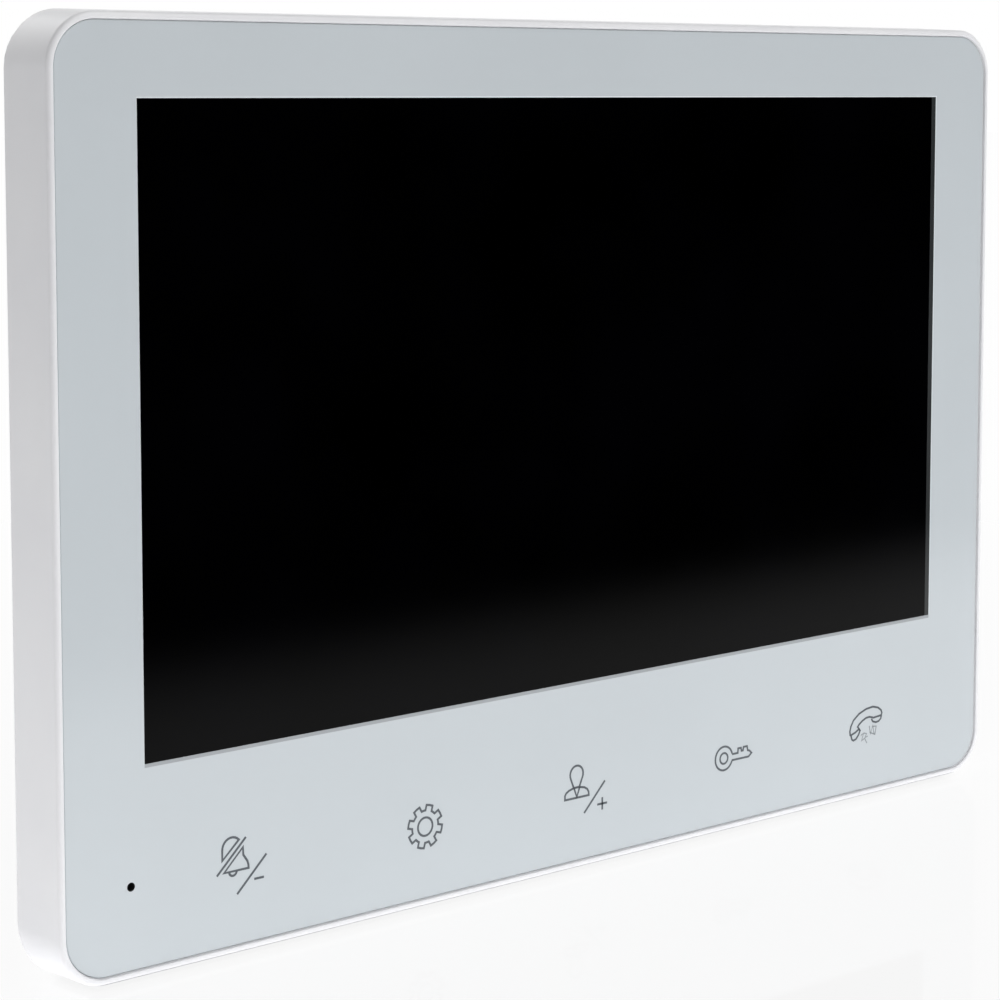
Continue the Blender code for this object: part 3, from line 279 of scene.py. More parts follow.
class Finish:
    """A Principled material whose colour, roughness and relief come from textures."""

    def __init__(self, name, roughness, metallic=0.0, specular=0.5, coat=0.0):
        self.material = bpy.data.materials.new(name)
        self.material.use_nodes = True
        self.nodes = self.material.node_tree.nodes
        self.links = self.material.node_tree.links
        self.shader = self.nodes["Principled BSDF"]
        self.shader.inputs["Roughness"].default_value = roughness
        self.shader.inputs["Metallic"].default_value = metallic
        self.shader.inputs["Specular IOR Level"].default_value = specular
        self.shader.inputs["Coat Weight"].default_value = coat
        self.place = self.nodes.new("ShaderNodeTexCoord").outputs["Object"]
        self.normal = None

    def stretched(self, stretch):
        """Object coordinates, scaled along each axis."""
        if stretch == (1, 1, 1):
            return self.place
        mapping = self.nodes.new("ShaderNodeMapping")
        mapping.inputs["Scale"].default_value = stretch
        self.links.new(self.place, mapping.inputs["Vector"])
        return mapping.outputs["Vector"]

    def noise(self, size, detail, stretch=(1, 1, 1)):
        """Cloudy value; size is about the width of one cloud."""
        node = self.nodes.new("ShaderNodeTexNoise")
        node.inputs["Scale"].default_value = 1 / size
        node.inputs["Detail"].default_value = detail
        self.links.new(self.stretched(stretch), node.inputs["Vector"])
        return node.outputs[0]

    def cells(self, size, output="Distance"):
        """Cells of a Voronoi pattern, about as wide as size."""
        node = self.nodes.new("ShaderNodeTexVoronoi")
        node.inputs["Scale"].default_value = 1 / size
        self.links.new(self.place, node.inputs["Vector"])
        return node.outputs[output]

    def bands(self, pitch, direction, distortion=0.0):
        """Sine bands across an axis, one to a pitch."""
        node = self.nodes.new("ShaderNodeTexWave")
        node.bands_direction = direction
        node.inputs["Scale"].default_value = math.pi / (10 * pitch)
        node.inputs["Distortion"].default_value = distortion
        self.links.new(self.place, node.inputs["Vector"])
        return node.outputs["Fac"]

    def ramp(self, value, *stops):
        """Colour along a list of (position, colour) stops."""
        node = self.nodes.new("ShaderNodeValToRGB")
        elements = node.color_ramp.elements
        while len(elements) < len(stops):
            elements.new(0.5)
        for element, (position, colour) in zip(elements, stops):
            element.position = position
            element.color = colour
        self.links.new(value, node.inputs["Fac"])
        return node.outputs["Color"]

    def span(self, value, low, high):
        """A value of 0 to 1, spread from low to high."""
        node = self.nodes.new("ShaderNodeMapRange")
        node.inputs["To Min"].default_value = low
        node.inputs["To Max"].default_value = high
        self.links.new(value, node.inputs["Value"])
        return node.outputs["Result"]

    def times(self, first, second):
        node = self.nodes.new("ShaderNodeMath")
        node.operation = "MULTIPLY"
        self.links.new(first, node.inputs[0])
        self.links.new(second, node.inputs[1])
        return node.outputs[0]

    def colour(self, output):
        self.links.new(output, self.shader.inputs["Base Color"])

    def roughness(self, output):
        self.links.new(output, self.shader.inputs["Roughness"])

    def softened(self, radius):
        """Edges catch the light as if they were rounded."""
        node = self.nodes.new("ShaderNodeBevel")
        node.samples = 4
        node.inputs["Radius"].default_value = radius
        self.face(node.outputs["Normal"])

    def relief(self, height, depth, strength):
        """Bumps as deep as depth, laid over the softened edges if there are any."""
        node = self.nodes.new("ShaderNodeBump")
        node.inputs["Distance"].default_value = depth
        node.inputs["Strength"].default_value = strength
        self.links.new(height, node.inputs["Height"])
        if self.normal:
            self.links.new(self.normal, node.inputs["Normal"])
        self.face(node.outputs["Normal"])

    def face(self, output):
        """Which way the surface is shaded as facing."""
        self.normal = output
        self.links.new(output, self.shader.inputs["Normal"])


def moulded(name, dark, light, roughness, grain=0.35 * MM, depth=0.006 * MM, edge=0.0):
    """Spark-eroded plastic or rubber: fine grain over a faint cloudy tone."""
    finish = Finish(name, roughness)
    finish.colour(finish.ramp(finish.noise(18 * MM, 3), (0.3, dark), (0.7, light)))
    fine = finish.noise(grain, 3)
    finish.roughness(finish.span(fine, roughness - 0.08, roughness + 0.08))
    if edge:
        finish.softened(edge)
    finish.relief(fine, depth, 0.6)
    return finish.material


def sheet_metal(name, dark, light, roughness, cell, edge=0.12 * MM):
    """Zinc-plated steel: spangle of flat crystals under fine rolling lines."""
    finish = Finish(name, roughness, metallic=1.0)
    crystals = finish.cells(cell, "Color")
    finish.colour(finish.ramp(crystals, (0.15, dark), (0.85, light)))
    lines = finish.noise(0.25 * MM, 3, (0.08, 1, 1))
    finish.roughness(finish.span(crystals, roughness - 0.07, roughness + 0.09))
    finish.softened(edge)
    finish.relief(lines, 0.003 * MM, 0.5)
    return finish.material


def printed_glass(name, dark, light):
    """Pale print behind clear glass: an even tone under a hard gloss."""
    finish = Finish(name, 0.05)
    finish.colour(finish.ramp(finish.noise(45 * MM, 2), (0.3, dark), (0.7, light)))
    finish.roughness(finish.span(finish.noise(25 * MM, 4), 0.03, 0.08))
    return finish.material


def display_glass(name, dark, light, specular):
    """Unlit display behind clear glass."""
    finish = Finish(name, 0.08, specular=specular)
    finish.colour(finish.ramp(finish.noise(30 * MM, 3), (0.35, dark), (0.65, light)))
    finish.roughness(finish.span(finish.noise(22 * MM, 4), 0.06, 0.12))
    return finish.material


def foam(name, dark, light):
    """Open-cell foam."""
    finish = Finish(name, 0.9, specular=0.2)
    pores = finish.cells(0.35 * MM)
    finish.colour(finish.ramp(pores, (0.1, dark), (0.6, light)))
    finish.relief(pores, 0.08 * MM, 0.8)
    return finish.material


def circuit(name):
    """Green solder mask over raised tracks that run both ways."""
    finish = Finish(name, 0.35, coat=0.3)
    tracks = finish.times(finish.bands(1.6 * MM, "X", 3.0), finish.bands(2.1 * MM, "Z", 3.0))
    mask = linear(18, 66, 40)
    copper = linear(44, 112, 66)
    finish.colour(finish.ramp(tracks, (0.32, mask), (0.38, copper)))
    finish.roughness(finish.span(finish.noise(0.6 * MM, 2), 0.3, 0.45))
    finish.relief(tracks, 0.03 * MM, 0.7)
    return finish.material


def flat_cable(name):
    """Polyimide film with conductors side by side."""
    finish = Finish(name, 0.35)
    strips = finish.bands(1.0 * MM, "X")
    finish.colour(finish.ramp(strips, (0.35, linear(150, 84, 22)), (0.6, linear(196, 128, 52))))
    finish.roughness(finish.span(finish.noise(1.5 * MM, 2), 0.28, 0.42))
    finish.relief(strips, 0.02 * MM, 0.8)
    return finish.material


def woven(name, dark, light, pitch):
    """Plain weave of fine threads."""
    finish = Finish(name, 0.85, specular=0.25)
    threads = finish.times(finish.bands(pitch, "X"), finish.bands(pitch, "Z"))
    finish.colour(finish.ramp(threads, (0.15, dark), (0.75, light)))
    finish.relief(threads, 0.06 * MM, 0.9)
    return finish.material


def paper_cone(name, dark, light):
    """Pressed paper with short fibres."""
    finish = Finish(name, 0.8, specular=0.3)
    fibres = finish.noise(0.5 * MM, 5, (1, 1, 0.3))
    finish.colour(finish.ramp(fibres, (0.3, dark), (0.7, light)))
    finish.relief(fibres, 0.03 * MM, 0.8)
    return finish.material


WHITE_DARK = linear(221, 221, 224)
WHITE_LIGHT = linear(226, 226, 228)
PRINT_DARK = linear(189, 195, 199)
PRINT_LIGHT = linear(192, 198, 202)

PLASTIC = moulded("white_abs_front", WHITE_DARK, WHITE_LIGHT, 0.38, 0.3 * MM, 0.003 * MM)
PRINT = printed_glass("glass_print", PRINT_DARK, PRINT_LIGHT)
# a darker copy of the print: painted shadow for the band under the window
PRINT_PAINTED_SHADE = printed_glass("glass_print_painted_shade", linear(150, 154, 158), linear(158, 162, 166))
# a lighter copy of the print: painted highlight for the line over and beside the window
PRINT_PAINTED_HIGHLIGHT = printed_glass("glass_print_painted_highlight", linear(216, 222, 226), linear(222, 226, 230))
DISPLAY = display_glass("display_black", linear(0, 0, 0), linear(1, 1, 2), 0.1)
DISPLAY_EDGE = display_glass("display_edge", linear(38, 40, 41), linear(52, 54, 55), 0.3)
INK = moulded("symbol_ink", linear(74, 80, 86), linear(88, 94, 100), 0.35, 0.2 * MM, 0.001 * MM)
INK_SOFT = moulded("symbol_ink_soft", linear(134, 140, 144), linear(146, 152, 156), 0.35,
                   0.2 * MM, 0.001 * MM)
KNOB = moulded("knob_plastic", linear(92, 94, 97), linear(102, 104, 107), 0.5, 0.25 * MM,
               0.006 * MM)
PIN_METAL = sheet_metal("pin_tin", linear(196, 188, 160), linear(226, 216, 184), 0.28,
                        1.2 * MM, 0.05 * MM)
SCREW_STEEL = sheet_metal("screw_steel", linear(150, 152, 156), linear(196, 198, 202), 0.32,
                          0.9 * MM, 0.05 * MM)
CLOTH = woven("speaker_weave", linear(10, 10, 11), linear(34, 34, 36), 0.35 * MM)

SLOT_FINISHES = {
    "white_abs": moulded("white_abs_back", WHITE_DARK, WHITE_LIGHT, 0.5, 0.4 * MM,
                         0.008 * MM, 0.2 * MM),
    "panel_glass": PRINT,
    "lcd_glass": DISPLAY,
    "backlight_can": sheet_metal("backlight_steel", linear(160, 163, 168),
                                 linear(190, 193, 198), 0.35, 4 * MM),
    "zinc_steel": sheet_metal("zinc_sheet", linear(174, 177, 181), linear(188, 191, 195),
                              0.42, 1.6 * MM),
    "black_foam": foam("foam_black", linear(18, 18, 19), linear(44, 44, 46)),
    "circuit_board": circuit("board_mask"),
    "chip_black": moulded("chip_epoxy", linear(24, 24, 26), linear(34, 34, 36), 0.55,
                          0.15 * MM, 0.01 * MM, 0.06 * MM),
    "plated_can": sheet_metal("plated_tin", linear(176, 174, 166), linear(206, 204, 196),
                              0.3, 2 * MM, 0.06 * MM),
    "socket_ivory": moulded("socket_nylon", linear(214, 206, 184), linear(224, 217, 197), 0.45,
                            0.5 * MM, 0.006 * MM, 0.08 * MM),
    "ribbon_amber": flat_cable("ribbon_film"),
    "lead_black": moulded("lead_sleeve", linear(20, 20, 21), linear(34, 34, 35), 0.5,
                          0.6 * MM, 0.01 * MM),
    "boot_rubber": moulded("boot_rubber_fine", linear(16, 16, 17), linear(28, 28, 29), 0.7,
                           0.2 * MM, 0.01 * MM),
    "speaker_basket": sheet_metal("basket_steel", linear(120, 122, 126), linear(158, 160, 164),
                                  0.4, 1.8 * MM),
    "magnet": moulded("ferrite", linear(40, 40, 43), linear(56, 56, 60), 0.6, 0.4 * MM,
                      0.02 * MM, 0.15 * MM),
    "speaker_paper": paper_cone("cone_paper", linear(20, 20, 21), linear(42, 41, 40)),
    "knob_grey": KNOB,
}


def dress_nodes():
    """Every CAD node takes the finish of its record slot."""
    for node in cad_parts.values():
        for material_slot in node.material_slots:
            name = material_slot.material.name.split(".")[0]
            material_slot.material = SLOT_FINISHES[name]


# ---------------------------------------------------------------- front shell
def make_front_shell():
    """Moulded front: flared wall, rounded lip round the glass, flange behind it."""
    front = HOUSING_LOW.y
    parting = HOUSING_HIGH.y
    flange = GLASS_HIGH.y + FLANGE_BEHIND_GLASS
    profile = arc((PARTING_ROUND - EDGE_FLARE, parting - PARTING_ROUND), PARTING_ROUND,
                  90, 180, 4)
    profile += arc((LIP_ROUND, front + LIP_ROUND), LIP_ROUND, 180, 270, 10)
    profile += arc((LIP_WIDTH - LIP_INNER_ROUND, front + LIP_INNER_ROUND), LIP_INNER_ROUND,
                   270, 360, 4)
    shelf = GLASS_LOW.y + GROOVE_DEPTH
    profile += [(LIP_WIDTH, shelf), (LIP_WIDTH + GROOVE_SHELF, shelf),
                (LIP_WIDTH + GROOVE_SHELF, flange), (FLANGE_REACH, flange),
                (FLANGE_REACH, flange + FLANGE_THICKNESS),
                (WALL, flange + FLANGE_THICKNESS), (WALL, parting)]
    builder = bmesh.new()
    rings = [ring_of(builder, case_outline(inset), depth) for inset, depth in profile]
    for first, second in zip(rings, rings[1:] + rings[:1]):
        bridge(builder, first, second)
    shell = piece("front_shell", builder, "monitor", [PLASTIC], "front_housing")

    half_depth = (KNOB_HIGH.y - KNOB_LOW.y) / 2 + SLOT_CLEARANCE
    slot_low = KNOB_LOW.z - SLOT_CLEARANCE
    slot_high = KNOB_HIGH.z + SWITCH_TRAVEL + SLOT_CLEARANCE
    outline = rounded(half_depth, (slot_high - slot_low) / 2, SLOT_ROUND,
                      ((KNOB_LOW.y + KNOB_HIGH.y) / 2, (slot_low + slot_high) / 2), 4)
    cutter = bmesh.new()
    ends = []
    for x in (HALF_WIDTH - 1.5 * WALL, HALF_WIDTH + WALL):
        ends.append([cutter.verts.new((x, y, z)) for y, z in outline])
        cutter.faces.new(ends[-1])
    bridge(cutter, ends[0], ends[1])
    carve(shell, cutter)


# ---------------------------------------------------------------- glass front
PRINT_FACE, DISPLAY_FACE, BORDER_FACE, PAINTED_SHADE_FACE, PAINTED_HIGHLIGHT_FACE, MIC_FACE = range(6)
PANEL_MATERIALS = [PRINT, DISPLAY, DISPLAY_EDGE, PRINT_PAINTED_SHADE, PRINT_PAINTED_HIGHLIGHT,
                   SLOT_FINISHES["boot_rubber"]]


def make_front_panel():
    """Glass with its print: rounded edge, microphone hole and the display's window, with a
    painted shadow under the window and a painted highlight over and beside it.
    """
    front, back = GLASS_LOW.y, GLASS_HIGH.y
    builder = bmesh.new()
    profile = [(GLASS_INSET, back)]
    profile += arc((GLASS_INSET + GLASS_ROUND, front + GLASS_ROUND), GLASS_ROUND, 180, 270, 5)
    rings = [ring_of(builder, case_outline(inset), depth) for inset, depth in profile]
    bridge_all(builder, rings)

    low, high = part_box("microphone")
    centre = ((low.x + high.x) / 2, (low.z + high.z) / 2)
    hole = [ring_of(builder, circle(centre, radius, 36), depth) for radius, depth in
            ((MIC_HOLE_RADIUS + MIC_CHAMFER, front), (MIC_HOLE_RADIUS, front + MIC_CHAMFER),
             (MIC_HOLE_RADIUS, back))]
    for first, second in zip(hole, hole[1:]):
        bridge(builder, first, second, MIC_FACE)

    columns = (-WINDOW_HALF_WIDTH, WINDOW_HALF_WIDTH - BORDER_WIDTH, WINDOW_HALF_WIDTH,
               WINDOW_HALF_WIDTH + PAINTED_HIGHLIGHT_LINE)
    rows = (WINDOW_BOTTOM - PAINTED_SHADOW_BAND, WINDOW_BOTTOM, WINDOW_TOP, WINDOW_TOP + PAINTED_HIGHLIGHT_LINE)
    # a band of painted shadow under the window, and a line of painted highlight over and beside
    # it
    finishes = ((PAINTED_SHADE_FACE, PAINTED_SHADE_FACE, PRINT_FACE), (DISPLAY_FACE, BORDER_FACE, PAINTED_HIGHLIGHT_FACE),
                (PAINTED_HIGHLIGHT_FACE, PAINTED_HIGHLIGHT_FACE, PAINTED_HIGHLIGHT_FACE))
    grid = [[builder.verts.new((x, front, z)) for x in columns] for z in rows]
    for row, line in enumerate(finishes):
        for column, finish in enumerate(line):
            face = builder.faces.new((grid[row][column], grid[row][column + 1],
                                      grid[row + 1][column + 1], grid[row + 1][column]))
            face.material_index = finish
    border = grid[0] + [line[-1] for line in grid[1:]]
    border += grid[-1][-2::-1] + [line[0] for line in grid[-2:0:-1]]
    fill(builder, [rings[-1], border, hole[0]])
    fill(builder, [rings[0], hole[-1]])
    piece("front_panel", builder, "monitor", PANEL_MATERIALS, "front_glass")


# ---------------------------------------------------------------- touch key symbols
def direction(start, end):
    """Unit vector from one point to another."""
    return (Vector(end) - Vector(start)).normalized()


def stroke(builder, points, closed=False, width=INK_LINE, material=0):
    """A printed line along points (x, z): a thin closed ribbon with mitred corners."""
    count = len(points)
    left, right = [], []
    for index, point in enumerate(points):
        before = points[index - 1] if closed or index else None
        after = points[(index + 1) % count] if closed or index < count - 1 else None
        arriving = direction(before, point) if before else direction(point, after)
        leaving = direction(point, after) if after else arriving
        across = Vector((-arriving.y, arriving.x))
        mitre = (across + Vector((-leaving.y, leaving.x))).normalized()
        reach = width / 2 / max(mitre.dot(across), 0.5)
        left.append(Vector(point) + mitre * reach)
        right.append(Vector(point) - mitre * reach)
    front = GLASS_LOW.y - INK_PROUD
    back = front + INK_THICKNESS
    rails = []
    for side, depth in ((left, front), (right, front), (right, back), (left, back)):
        rails.append([builder.verts.new((p.x, depth, p.y)) for p in side])
    for first, second in zip(rails, rails[1:] + rails[:1]):
        for index in range(count if closed else count - 1):
            following = (index + 1) % count
            face = builder.faces.new((first[index], first[following],
                                      second[following], second[index]))
            face.material_index = material
    if not closed:
        for end in (0, -1):
            face = builder.faces.new([rail[end] for rail in rails])
            face.material_index = material


def symbol(name, key, strokes, fine_strokes=()):
    """Draws a symbol on a touch key. Points are millimetres from the key's centre."""
    low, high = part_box(key)
    centre = Vector(((low.x + high.x) / 2, (low.z + high.z) / 2))
    builder = bmesh.new()
    for points, closed in strokes:
        stroke(builder, [tuple(centre + Vector(p) * MM) for p in points], closed)
    for points in fine_strokes:
        stroke(builder, [tuple(centre + Vector(p) * MM) for p in points], False,
               INK_FINE_LINE, 1)
    piece(name, builder, "monitor", [INK, INK_SOFT], None, False)


def make_bell_symbol():
    """A bell struck through, beside a slash and a minus."""
    dome = arc((-1.75, 2.85), 1.55, 180, 42, 10)
    skirt = [(0.05, 2.75), (0.1, 1.7), (0.4, 1.25), (0.75, 0.75), (0.92, 0.2), (0.95, -0.27)]
    symbol("bell_off_symbol", "key_pad_1", [
        ([(-3.3, 1.45)] + dome, True),
        ([(-4.2, -0.5), (0.55, 4.05)], False),
        ([(-3.05, -0.27)] + skirt, True),
        (arc((-1.6, -0.27), 0.62, 190, 350, 8), False),
        ([(-0.95, -3.55), (3.9, 1.15)], False),
        ([(1.85, -1.98), (3.45, -1.98)], False)])


def make_gear_symbol():
    """A gear wheel with eight teeth."""
    centre = (0.38, -0.12)
    teeth = 8
    outline = []
    for tooth in range(teeth):
        middle = 29.8 + tooth * 360 / teeth
        outline += arc(centre, 3.1, middle - 10.5, middle + 10.5, 2)
        outline += arc(centre, 2.35, middle + 14, middle + 360 / teeth - 14, 3)
    symbol("gear_symbol", "key_pad_2", [(outline, True),
                                        (circle(centre, 1.32, 36), True)])


def make_person_symbol():
    """Head and shoulders with a collar, beside a slash and a plus."""
    head = [(-2.38, 0.7)] + arc((-1.76, 2.62), 1.3, 205, -25, 16) + [(-1.2, 0.7)]
    shoulders = [(-4.1, -0.95), (-4.08, -0.3), (-3.85, 0.05), (-3.3, 0.35), (-2.38, 0.6),
                 (-1.78, 0.62), (-1.2, 0.6), (-0.2, 0.38), (0.35, 0.05), (0.64, -0.4),
                 (0.68, -0.95)]
    symbol("person_symbol", "key_pad_3", [
        (head, False), (shoulders, True),
        ([(-2.3, 0.6), (-1.72, -0.85), (-1.15, 0.6)], False),
        ([(-0.25, -3.55), (3.95, 0.72)], False),
        ([(2.4, -2.72), (4.4, -2.72)], False),
        ([(3.42, -1.75), (3.42, -3.65)], False)])


def make_key_symbol():
    """A door key."""
    bow = (-1.83, -0.05)
    shaft = [(-0.02, 0.34), (1.25, 0.34), (1.3, 1.05), (1.95, 1.05), (2.05, 0.55),
             (2.4, 0.55), (2.5, 1.1), (3.3, 1.1), (3.45, 0.42), (3.85, 0.3), (4.3, -0.12),
             (3.65, -0.62), (-0.12, -0.62)]
    symbol("door_key_symbol", "key_pad_4", [
        (arc(bow, 1.88, 15, 340, 30), False), (circle(bow, 0.85, 24), True),
        (shaft, False)])


def make_handset_symbol():
    """A telephone handset over small marks."""
    back = [(-3.72, -1.05), (-3.8, -0.3), (-3.55, 0.5), (-2.95, 1.4), (-1.6, 2.3),
            (0.1, 2.85), (1.7, 3.0), (3.0, 2.65), (3.75, 2.1), (3.95, 1.6), (3.75, 1.25)]
    grip = [(3.75, 1.25), (2.7, 1.18), (1.9, 1.12), (0.9, 1.42), (0.1, 1.35), (-0.8, 1.0),
            (-1.6, 0.5), (-1.95, 0.15), (-1.6, -0.25), (-2.5, -0.7), (-3.72, -1.05)]
    symbol("handset_symbol", "key_pad_5", [
        (back, False), (grip, False),
        ([(-3.5, -1.15), (-3.3, -1.75), (-2.9, -1.98), (-2.3, -1.8), (-1.7, -1.2),
          (-1.35, -0.55), (-1.6, -0.25)], False),
        ([(1.4, 1.0), (1.75, 0.5), (2.5, 0.28), (3.2, 0.36), (3.7, 0.75), (3.85, 1.3)], False)],
        [[(-1.15, -1.4), (-0.45, -1.1), (-0.95, -2.3), (-0.2, -2.0), (0.35, -2.9)],
         [(-0.4, -1.1), (0.25, -1.3), (-0.1, -1.9), (0.55, -1.75)],
         [(0.9, -0.1), (1.2, -1.5), (1.75, -0.2), (2.1, -1.7)],
         [(1.0, -1.2), (2.3, -1.75), (2.6, -0.4), (1.7, -0.3)]])


# ---------------------------------------------------------------- small hardware
def make_knob():
    """Slide switch knob with grip ridges across its outer end."""
    ridges = 5
    steps = 12
    depth = 0.16 * MM
    chamfer = 0.1 * MM
    length = KNOB_HIGH.z - KNOB_LOW.z
    builder = bmesh.new()
    sides = []
    for y, trim in ((KNOB_LOW.y, chamfer), (KNOB_LOW.y + chamfer, 0.0),
                    (KNOB_HIGH.y - chamfer, 0.0), (KNOB_HIGH.y, chamfer)):
        outline = [(KNOB_LOW.x, KNOB_LOW.z + trim)]
        for step in range(ridges * steps + 1):
            share = step / (ridges * steps)
            wave = 0.5 - 0.5 * math.cos(2 * math.pi * ridges * share)
            outline.append((KNOB_HIGH.x - trim - depth * (1 - wave),
                            KNOB_LOW.z + trim + (length - 2 * trim) * share))
        outline.append((KNOB_LOW.x, KNOB_HIGH.z - trim))
        sides.append(ring_of(builder, outline, y))
    bridge_all(builder, sides)
    fill(builder, [sides[0]])
    fill(builder, [sides[-1]])
    piece("slide_knob", builder, "power_switch", [KNOB], "power_switch_knob")


def make_pins(socket):
    """A row of square pins that stand in a socket's cavity, each with a tapered tip."""
    low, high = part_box(socket)
    middle_x = (low.x + high.x) / 2
    middle_z = (low.z + high.z) / 2
    tip = high.y - PIN_BELOW_RIM
    builder = bmesh.new()
    for index in range(PIN_COUNT):
        x = middle_x + (index - (PIN_COUNT - 1) / 2) * PIN_PITCH
        rings = []
        for half, depth in ((PIN_HALF, low.y + SOCKET_FLOOR), (PIN_HALF, tip - PIN_TAPER),
                            (PIN_HALF / 3, tip)):
            outline = ((x - half, middle_z - half), (x + half, middle_z - half),
                       (x + half, middle_z + half), (x - half, middle_z + half))
            rings.append(ring_of(builder, outline, depth))
        close_up(builder, rings)
    piece(socket + "_pins", builder, "monitor", [PIN_METAL])


def make_screw(node):
    """Pan-head screw with a cross recess in its head, which faces the wall."""
    low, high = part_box(node)
    centre = ((low.x + high.x) / 2, (low.z + high.z) / 2)
    radius = (high.x - low.x) / 2
    head = SCREW_HEAD * radius
    shank = SCREW_SHANK * radius
    seat = high.y - head
    profile = [(0.12 * radius, high.y), (0.5 * radius, high.y - 0.03 * radius),
               (0.78 * radius, high.y - 0.12 * radius), (0.94 * radius, high.y - 0.28 * radius),
               (radius, seat + 0.06 * radius), (0.97 * radius, seat), (shank, seat),
               (shank, low.y + shank), (0.15 * shank, low.y)]
    builder = bmesh.new()
    close_up(builder, [ring_of(builder, circle(centre, size), depth) for size, depth in profile])
    made = piece(node + "_cross", builder, "monitor", [SCREW_STEEL], node)

    width = RECESS_WIDTH * radius
    wide = RECESS_REACH * radius
    turns = ((1, 0), (0, -1), (-1, 0), (0, 1))
    cutter = bmesh.new()
    rings = []
    for reach, depth in ((wide, high.y + head), (wide, high.y - 0.05 * radius),
                         (RECESS_TIP * radius, high.y - RECESS_DEPTH * head)):
        arm = ((width, width), (reach, width), (reach, -width))
        outline = [(centre[0] + x * along - z * across, centre[1] + x * across + z * along)
                   for along, across in turns for x, z in arm]
        rings.append(ring_of(cutter, outline, depth))
    close_up(cutter, rings)
    carve(made, cutter)


def make_speaker_cloth():
    """Dust cloth between the grille's slots and the speaker's foam ring."""
    low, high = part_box("speaker_gasket")
    centre = ((low.x + high.x) / 2, (low.z + high.z) / 2)
    radius = (high.x - low.x) / 2 - CLOTH_MARGIN
    profile = ((0.02, 0.08), (0.5, 0.08), (0.97, 0.08), (1.0, 0.12), (1.0, 0.18),
               (0.97, 0.22), (0.5, 0.22), (0.02, 0.22))
    builder = bmesh.new()
    close_up(builder, [ring_of(builder, circle(centre, radius * share), high.y + depth * MM)
                       for share, depth in profile])
    cloth = piece("speaker_cloth", builder, "monitor", [CLOTH])


# ---------------------------------------------------------------- stage
def stage_sheet(name, corners, material):
    """A flat card or floor that belongs to the stage."""
    builder = bmesh.new()
    builder.faces.new([builder.verts.new(corner) for corner in corners])
    mesh = bpy.data.meshes.new(name)
    builder.to_mesh(mesh)
    builder.free()
    mesh.materials.append(material)
    made = bpy.data.objects.new(name, mesh)
    bpy.context.scene.collection.objects.link(made)
    return made


def seen_directly(nodes, links):
    """1 for camera, glossy and transmission rays, which show the white backdrop."""
    path = nodes.new("ShaderNodeLightPath")
    total = path.outputs["Is Camera Ray"]
    for name in ("Is Glossy Ray", "Is Transmission Ray"):
        node = nodes.new("ShaderNodeMath")
        node.operation = "MAXIMUM"
        links.new(total, node.inputs[0])
        links.new(path.outputs[name], node.inputs[1])
        total = node.outputs[0]
    return total


def make_floor():
    """Pale floor: white where it is seen, with the shadow and a faint gloss kept."""
    finish = Finish("floor_pale", 0.6, specular=0.1)
    finish.colour(finish.ramp(finish.noise(1.2, 2), (0.3, linear(240, 240, 241)),
                              (0.7, linear(243, 243, 244))))
    nodes, links = finish.nodes, finish.links
    white = nodes.new("ShaderNodeEmission")
    away = nodes.new("ShaderNodeVectorMath")
    away.operation = "LENGTH"
    links.new(finish.place, away.inputs[0])
    whiteness = nodes.new("ShaderNodeMapRange")
    whiteness.interpolation_type = "SMOOTHSTEP"
    whiteness.inputs["From Min"].default_value = FLOOR_FADE[0]
    whiteness.inputs["From Max"].default_value = FLOOR_FADE[1]
    whiteness.inputs["To Min"].default_value = FLOOR_WHITE_NEAR
    whiteness.inputs["To Max"].default_value = FLOOR_WHITE_FAR
    links.new(away.outputs["Value"], whiteness.inputs["Value"])
    mix = nodes.new("ShaderNodeMixShader")
    links.new(finish.times(seen_directly(nodes, links), whiteness.outputs["Result"]),
              mix.inputs["Fac"])
    links.new(finish.shader.outputs["BSDF"], mix.inputs[1])
    links.new(white.outputs["Emission"], mix.inputs[2])
    gloss = nodes.new("ShaderNodeBsdfGlossy")
    gloss.inputs["Roughness"].default_value = FLOOR_POLISH
    polished = nodes.new("ShaderNodeMixShader")
    polished.inputs["Fac"].default_value = FLOOR_GLOSS
    links.new(mix.outputs["Shader"], polished.inputs[1])
    links.new(gloss.outputs["BSDF"], polished.inputs[2])
    links.new(polished.outputs["Shader"], nodes["Material Output"].inputs["Surface"])
    half = FLOOR_HALF
    stage_sheet("floor", ((-half, -half, FLOOR_Z), (half, -half, FLOOR_Z),
                          (half, half, FLOOR_Z), (-half, half, FLOOR_Z)), finish.material)


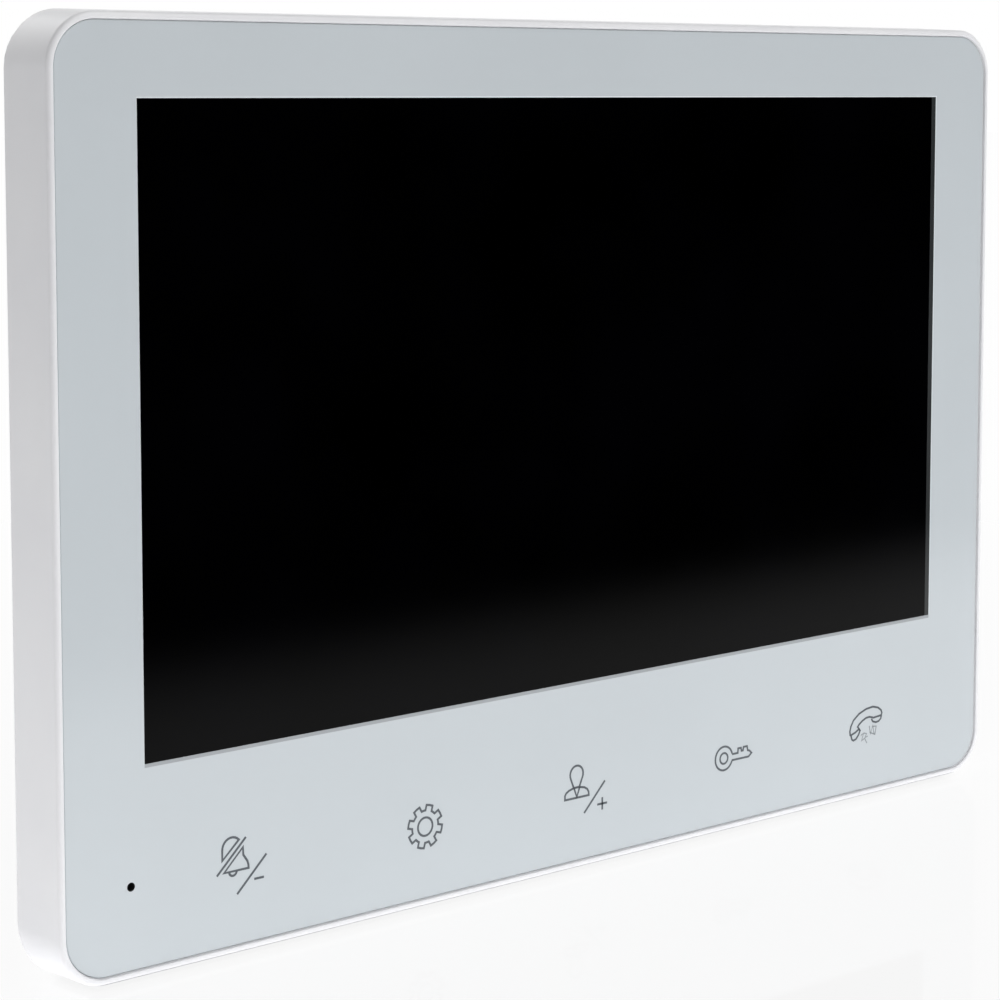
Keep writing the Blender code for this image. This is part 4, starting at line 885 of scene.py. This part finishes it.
def make_flag():
    """Black card in front, for the glass to reflect: its near edge fades out over the floor."""
    material = bpy.data.materials.new("flag_black")
    material.use_nodes = True
    nodes, links = material.node_tree.nodes, material.node_tree.links
    shader = nodes["Principled BSDF"]
    shader.inputs["Base Color"].default_value = (0, 0, 0, 1)
    shader.inputs["Specular IOR Level"].default_value = 0.0
    clear = nodes.new("ShaderNodeBsdfTransparent")
    place = nodes.new("ShaderNodeTexCoord")
    split = nodes.new("ShaderNodeSeparateXYZ")
    links.new(place.outputs["Object"], split.inputs["Vector"])
    fade = nodes.new("ShaderNodeMapRange")
    fade.interpolation_type = "SMOOTHSTEP"
    fade.inputs["From Min"].default_value = FLAG_NEAR
    fade.inputs["From Max"].default_value = FLAG_SOLID
    links.new(split.outputs["Y"], fade.inputs["Value"])
    facing = nodes.new("ShaderNodeNewGeometry")
    front = nodes.new("ShaderNodeMath")
    front.operation = "SUBTRACT"
    front.use_clamp = True
    links.new(fade.outputs["Result"], front.inputs[0])
    links.new(facing.outputs["Backfacing"], front.inputs[1])
    mix = nodes.new("ShaderNodeMixShader")
    links.new(front.outputs[0], mix.inputs["Fac"])
    links.new(clear.outputs["BSDF"], mix.inputs[1])
    links.new(shader.outputs["BSDF"], mix.inputs[2])
    links.new(mix.outputs["Shader"], nodes["Material Output"].inputs["Surface"])
    low = FLOOR_Z + FLAG_LIFT
    half = FLOOR_HALF
    flat = stage_sheet("flag_flat", ((-half, FLAG_FAR, low), (half, FLAG_FAR, low),
                                     (half, FLAG_NEAR, low), (-half, FLAG_NEAR, low)), material)
    wall = stage_sheet("flag_wall", ((half, FLAG_FAR, low), (-half, FLAG_FAR, low),
                                     (-half, FLAG_FAR, FLAG_TOP), (half, FLAG_FAR, FLAG_TOP)),
                       material)
    for card in (flat, wall):
        card.visible_camera = False
        card.visible_diffuse = False
        card.visible_shadow = False
        card.visible_transmission = False


def make_world():
    """Soft light from all round, and plain white where the backdrop is seen."""
    world = bpy.data.worlds.new("studio")
    bpy.context.scene.world = world
    world.use_nodes = True
    nodes, links = world.node_tree.nodes, world.node_tree.links
    soft = nodes["Background"]
    soft.inputs["Color"].default_value = (1.0, 1.0, 1.0, 1.0)
    soft.inputs["Strength"].default_value = SKY_LEVEL
    white = nodes.new("ShaderNodeBackground")
    white.inputs["Color"].default_value = (1.0, 1.0, 1.0, 1.0)
    white.inputs["Strength"].default_value = 1.0
    mix = nodes.new("ShaderNodeMixShader")
    links.new(seen_directly(nodes, links), mix.inputs["Fac"])
    links.new(soft.outputs["Background"], mix.inputs[1])
    links.new(white.outputs["Background"], mix.inputs[2])
    links.new(mix.outputs["Shader"], nodes["World Output"].inputs["Surface"])


def softbox(name, place, size, watts, aim=(0.0, 0.0, 0.0)):
    """Rectangular soft light, turned towards a point."""
    lamp = bpy.data.lights.new(name, "AREA")
    lamp.shape = "RECTANGLE"
    lamp.size, lamp.size_y = size
    lamp.energy = watts
    made = bpy.data.objects.new(name, lamp)
    bpy.context.scene.collection.objects.link(made)
    made.location = place
    made.rotation_euler = (Vector(aim) - Vector(place)).to_track_quat("-Z", "Y").to_euler()
    return made


def make_lights():
    """Key from above, one from behind, and a low panel for light off the bright floor."""
    softbox("key_light", KEY_PLACE, SOFTBOX_SIZE, KEY_WATTS)
    softbox("rear_light", REAR_PLACE, SOFTBOX_SIZE, REAR_WATTS)
    bounce = softbox("floor_bounce", (*BOUNCE_CENTRE, FLOOR_Z + BOUNCE_LIFT), BOUNCE_SIZE,
                     BOUNCE_WATTS, (*BOUNCE_CENTRE, 1.0))
    bounce.visible_camera = False
    bounce.visible_glossy = False


def make_camera():
    """The photograph's view, from the left; the shift keeps uprights close to parallel."""
    camera = bpy.data.cameras.new("camera")
    camera.lens = CAMERA_LENS
    camera.sensor_width = CAMERA_SENSOR
    camera.shift_y = CAMERA_SHIFT
    made = bpy.data.objects.new("camera", camera)
    bpy.context.scene.collection.objects.link(made)
    made.location = CAMERA_PLACE
    made.rotation_euler = (math.radians(90 - CAMERA_PITCH), 0.0, math.radians(-CAMERA_YAW))
    bpy.context.scene.camera = made


dress_nodes()
make_front_shell()
make_front_panel()
make_bell_symbol()
make_gear_symbol()
make_person_symbol()
make_key_symbol()
make_handset_symbol()
make_knob()
for socket_name in ("door_socket_1", "door_socket_2", "link_socket", "power_socket"):
    make_pins(socket_name)
for screw_index in range(1, 5):
    make_screw(f"case_screw_{screw_index}")
make_speaker_cloth()

make_floor()
make_flag()
make_world()
make_lights()
make_camera()
bpy.context.scene.view_settings.view_transform = "Standard"
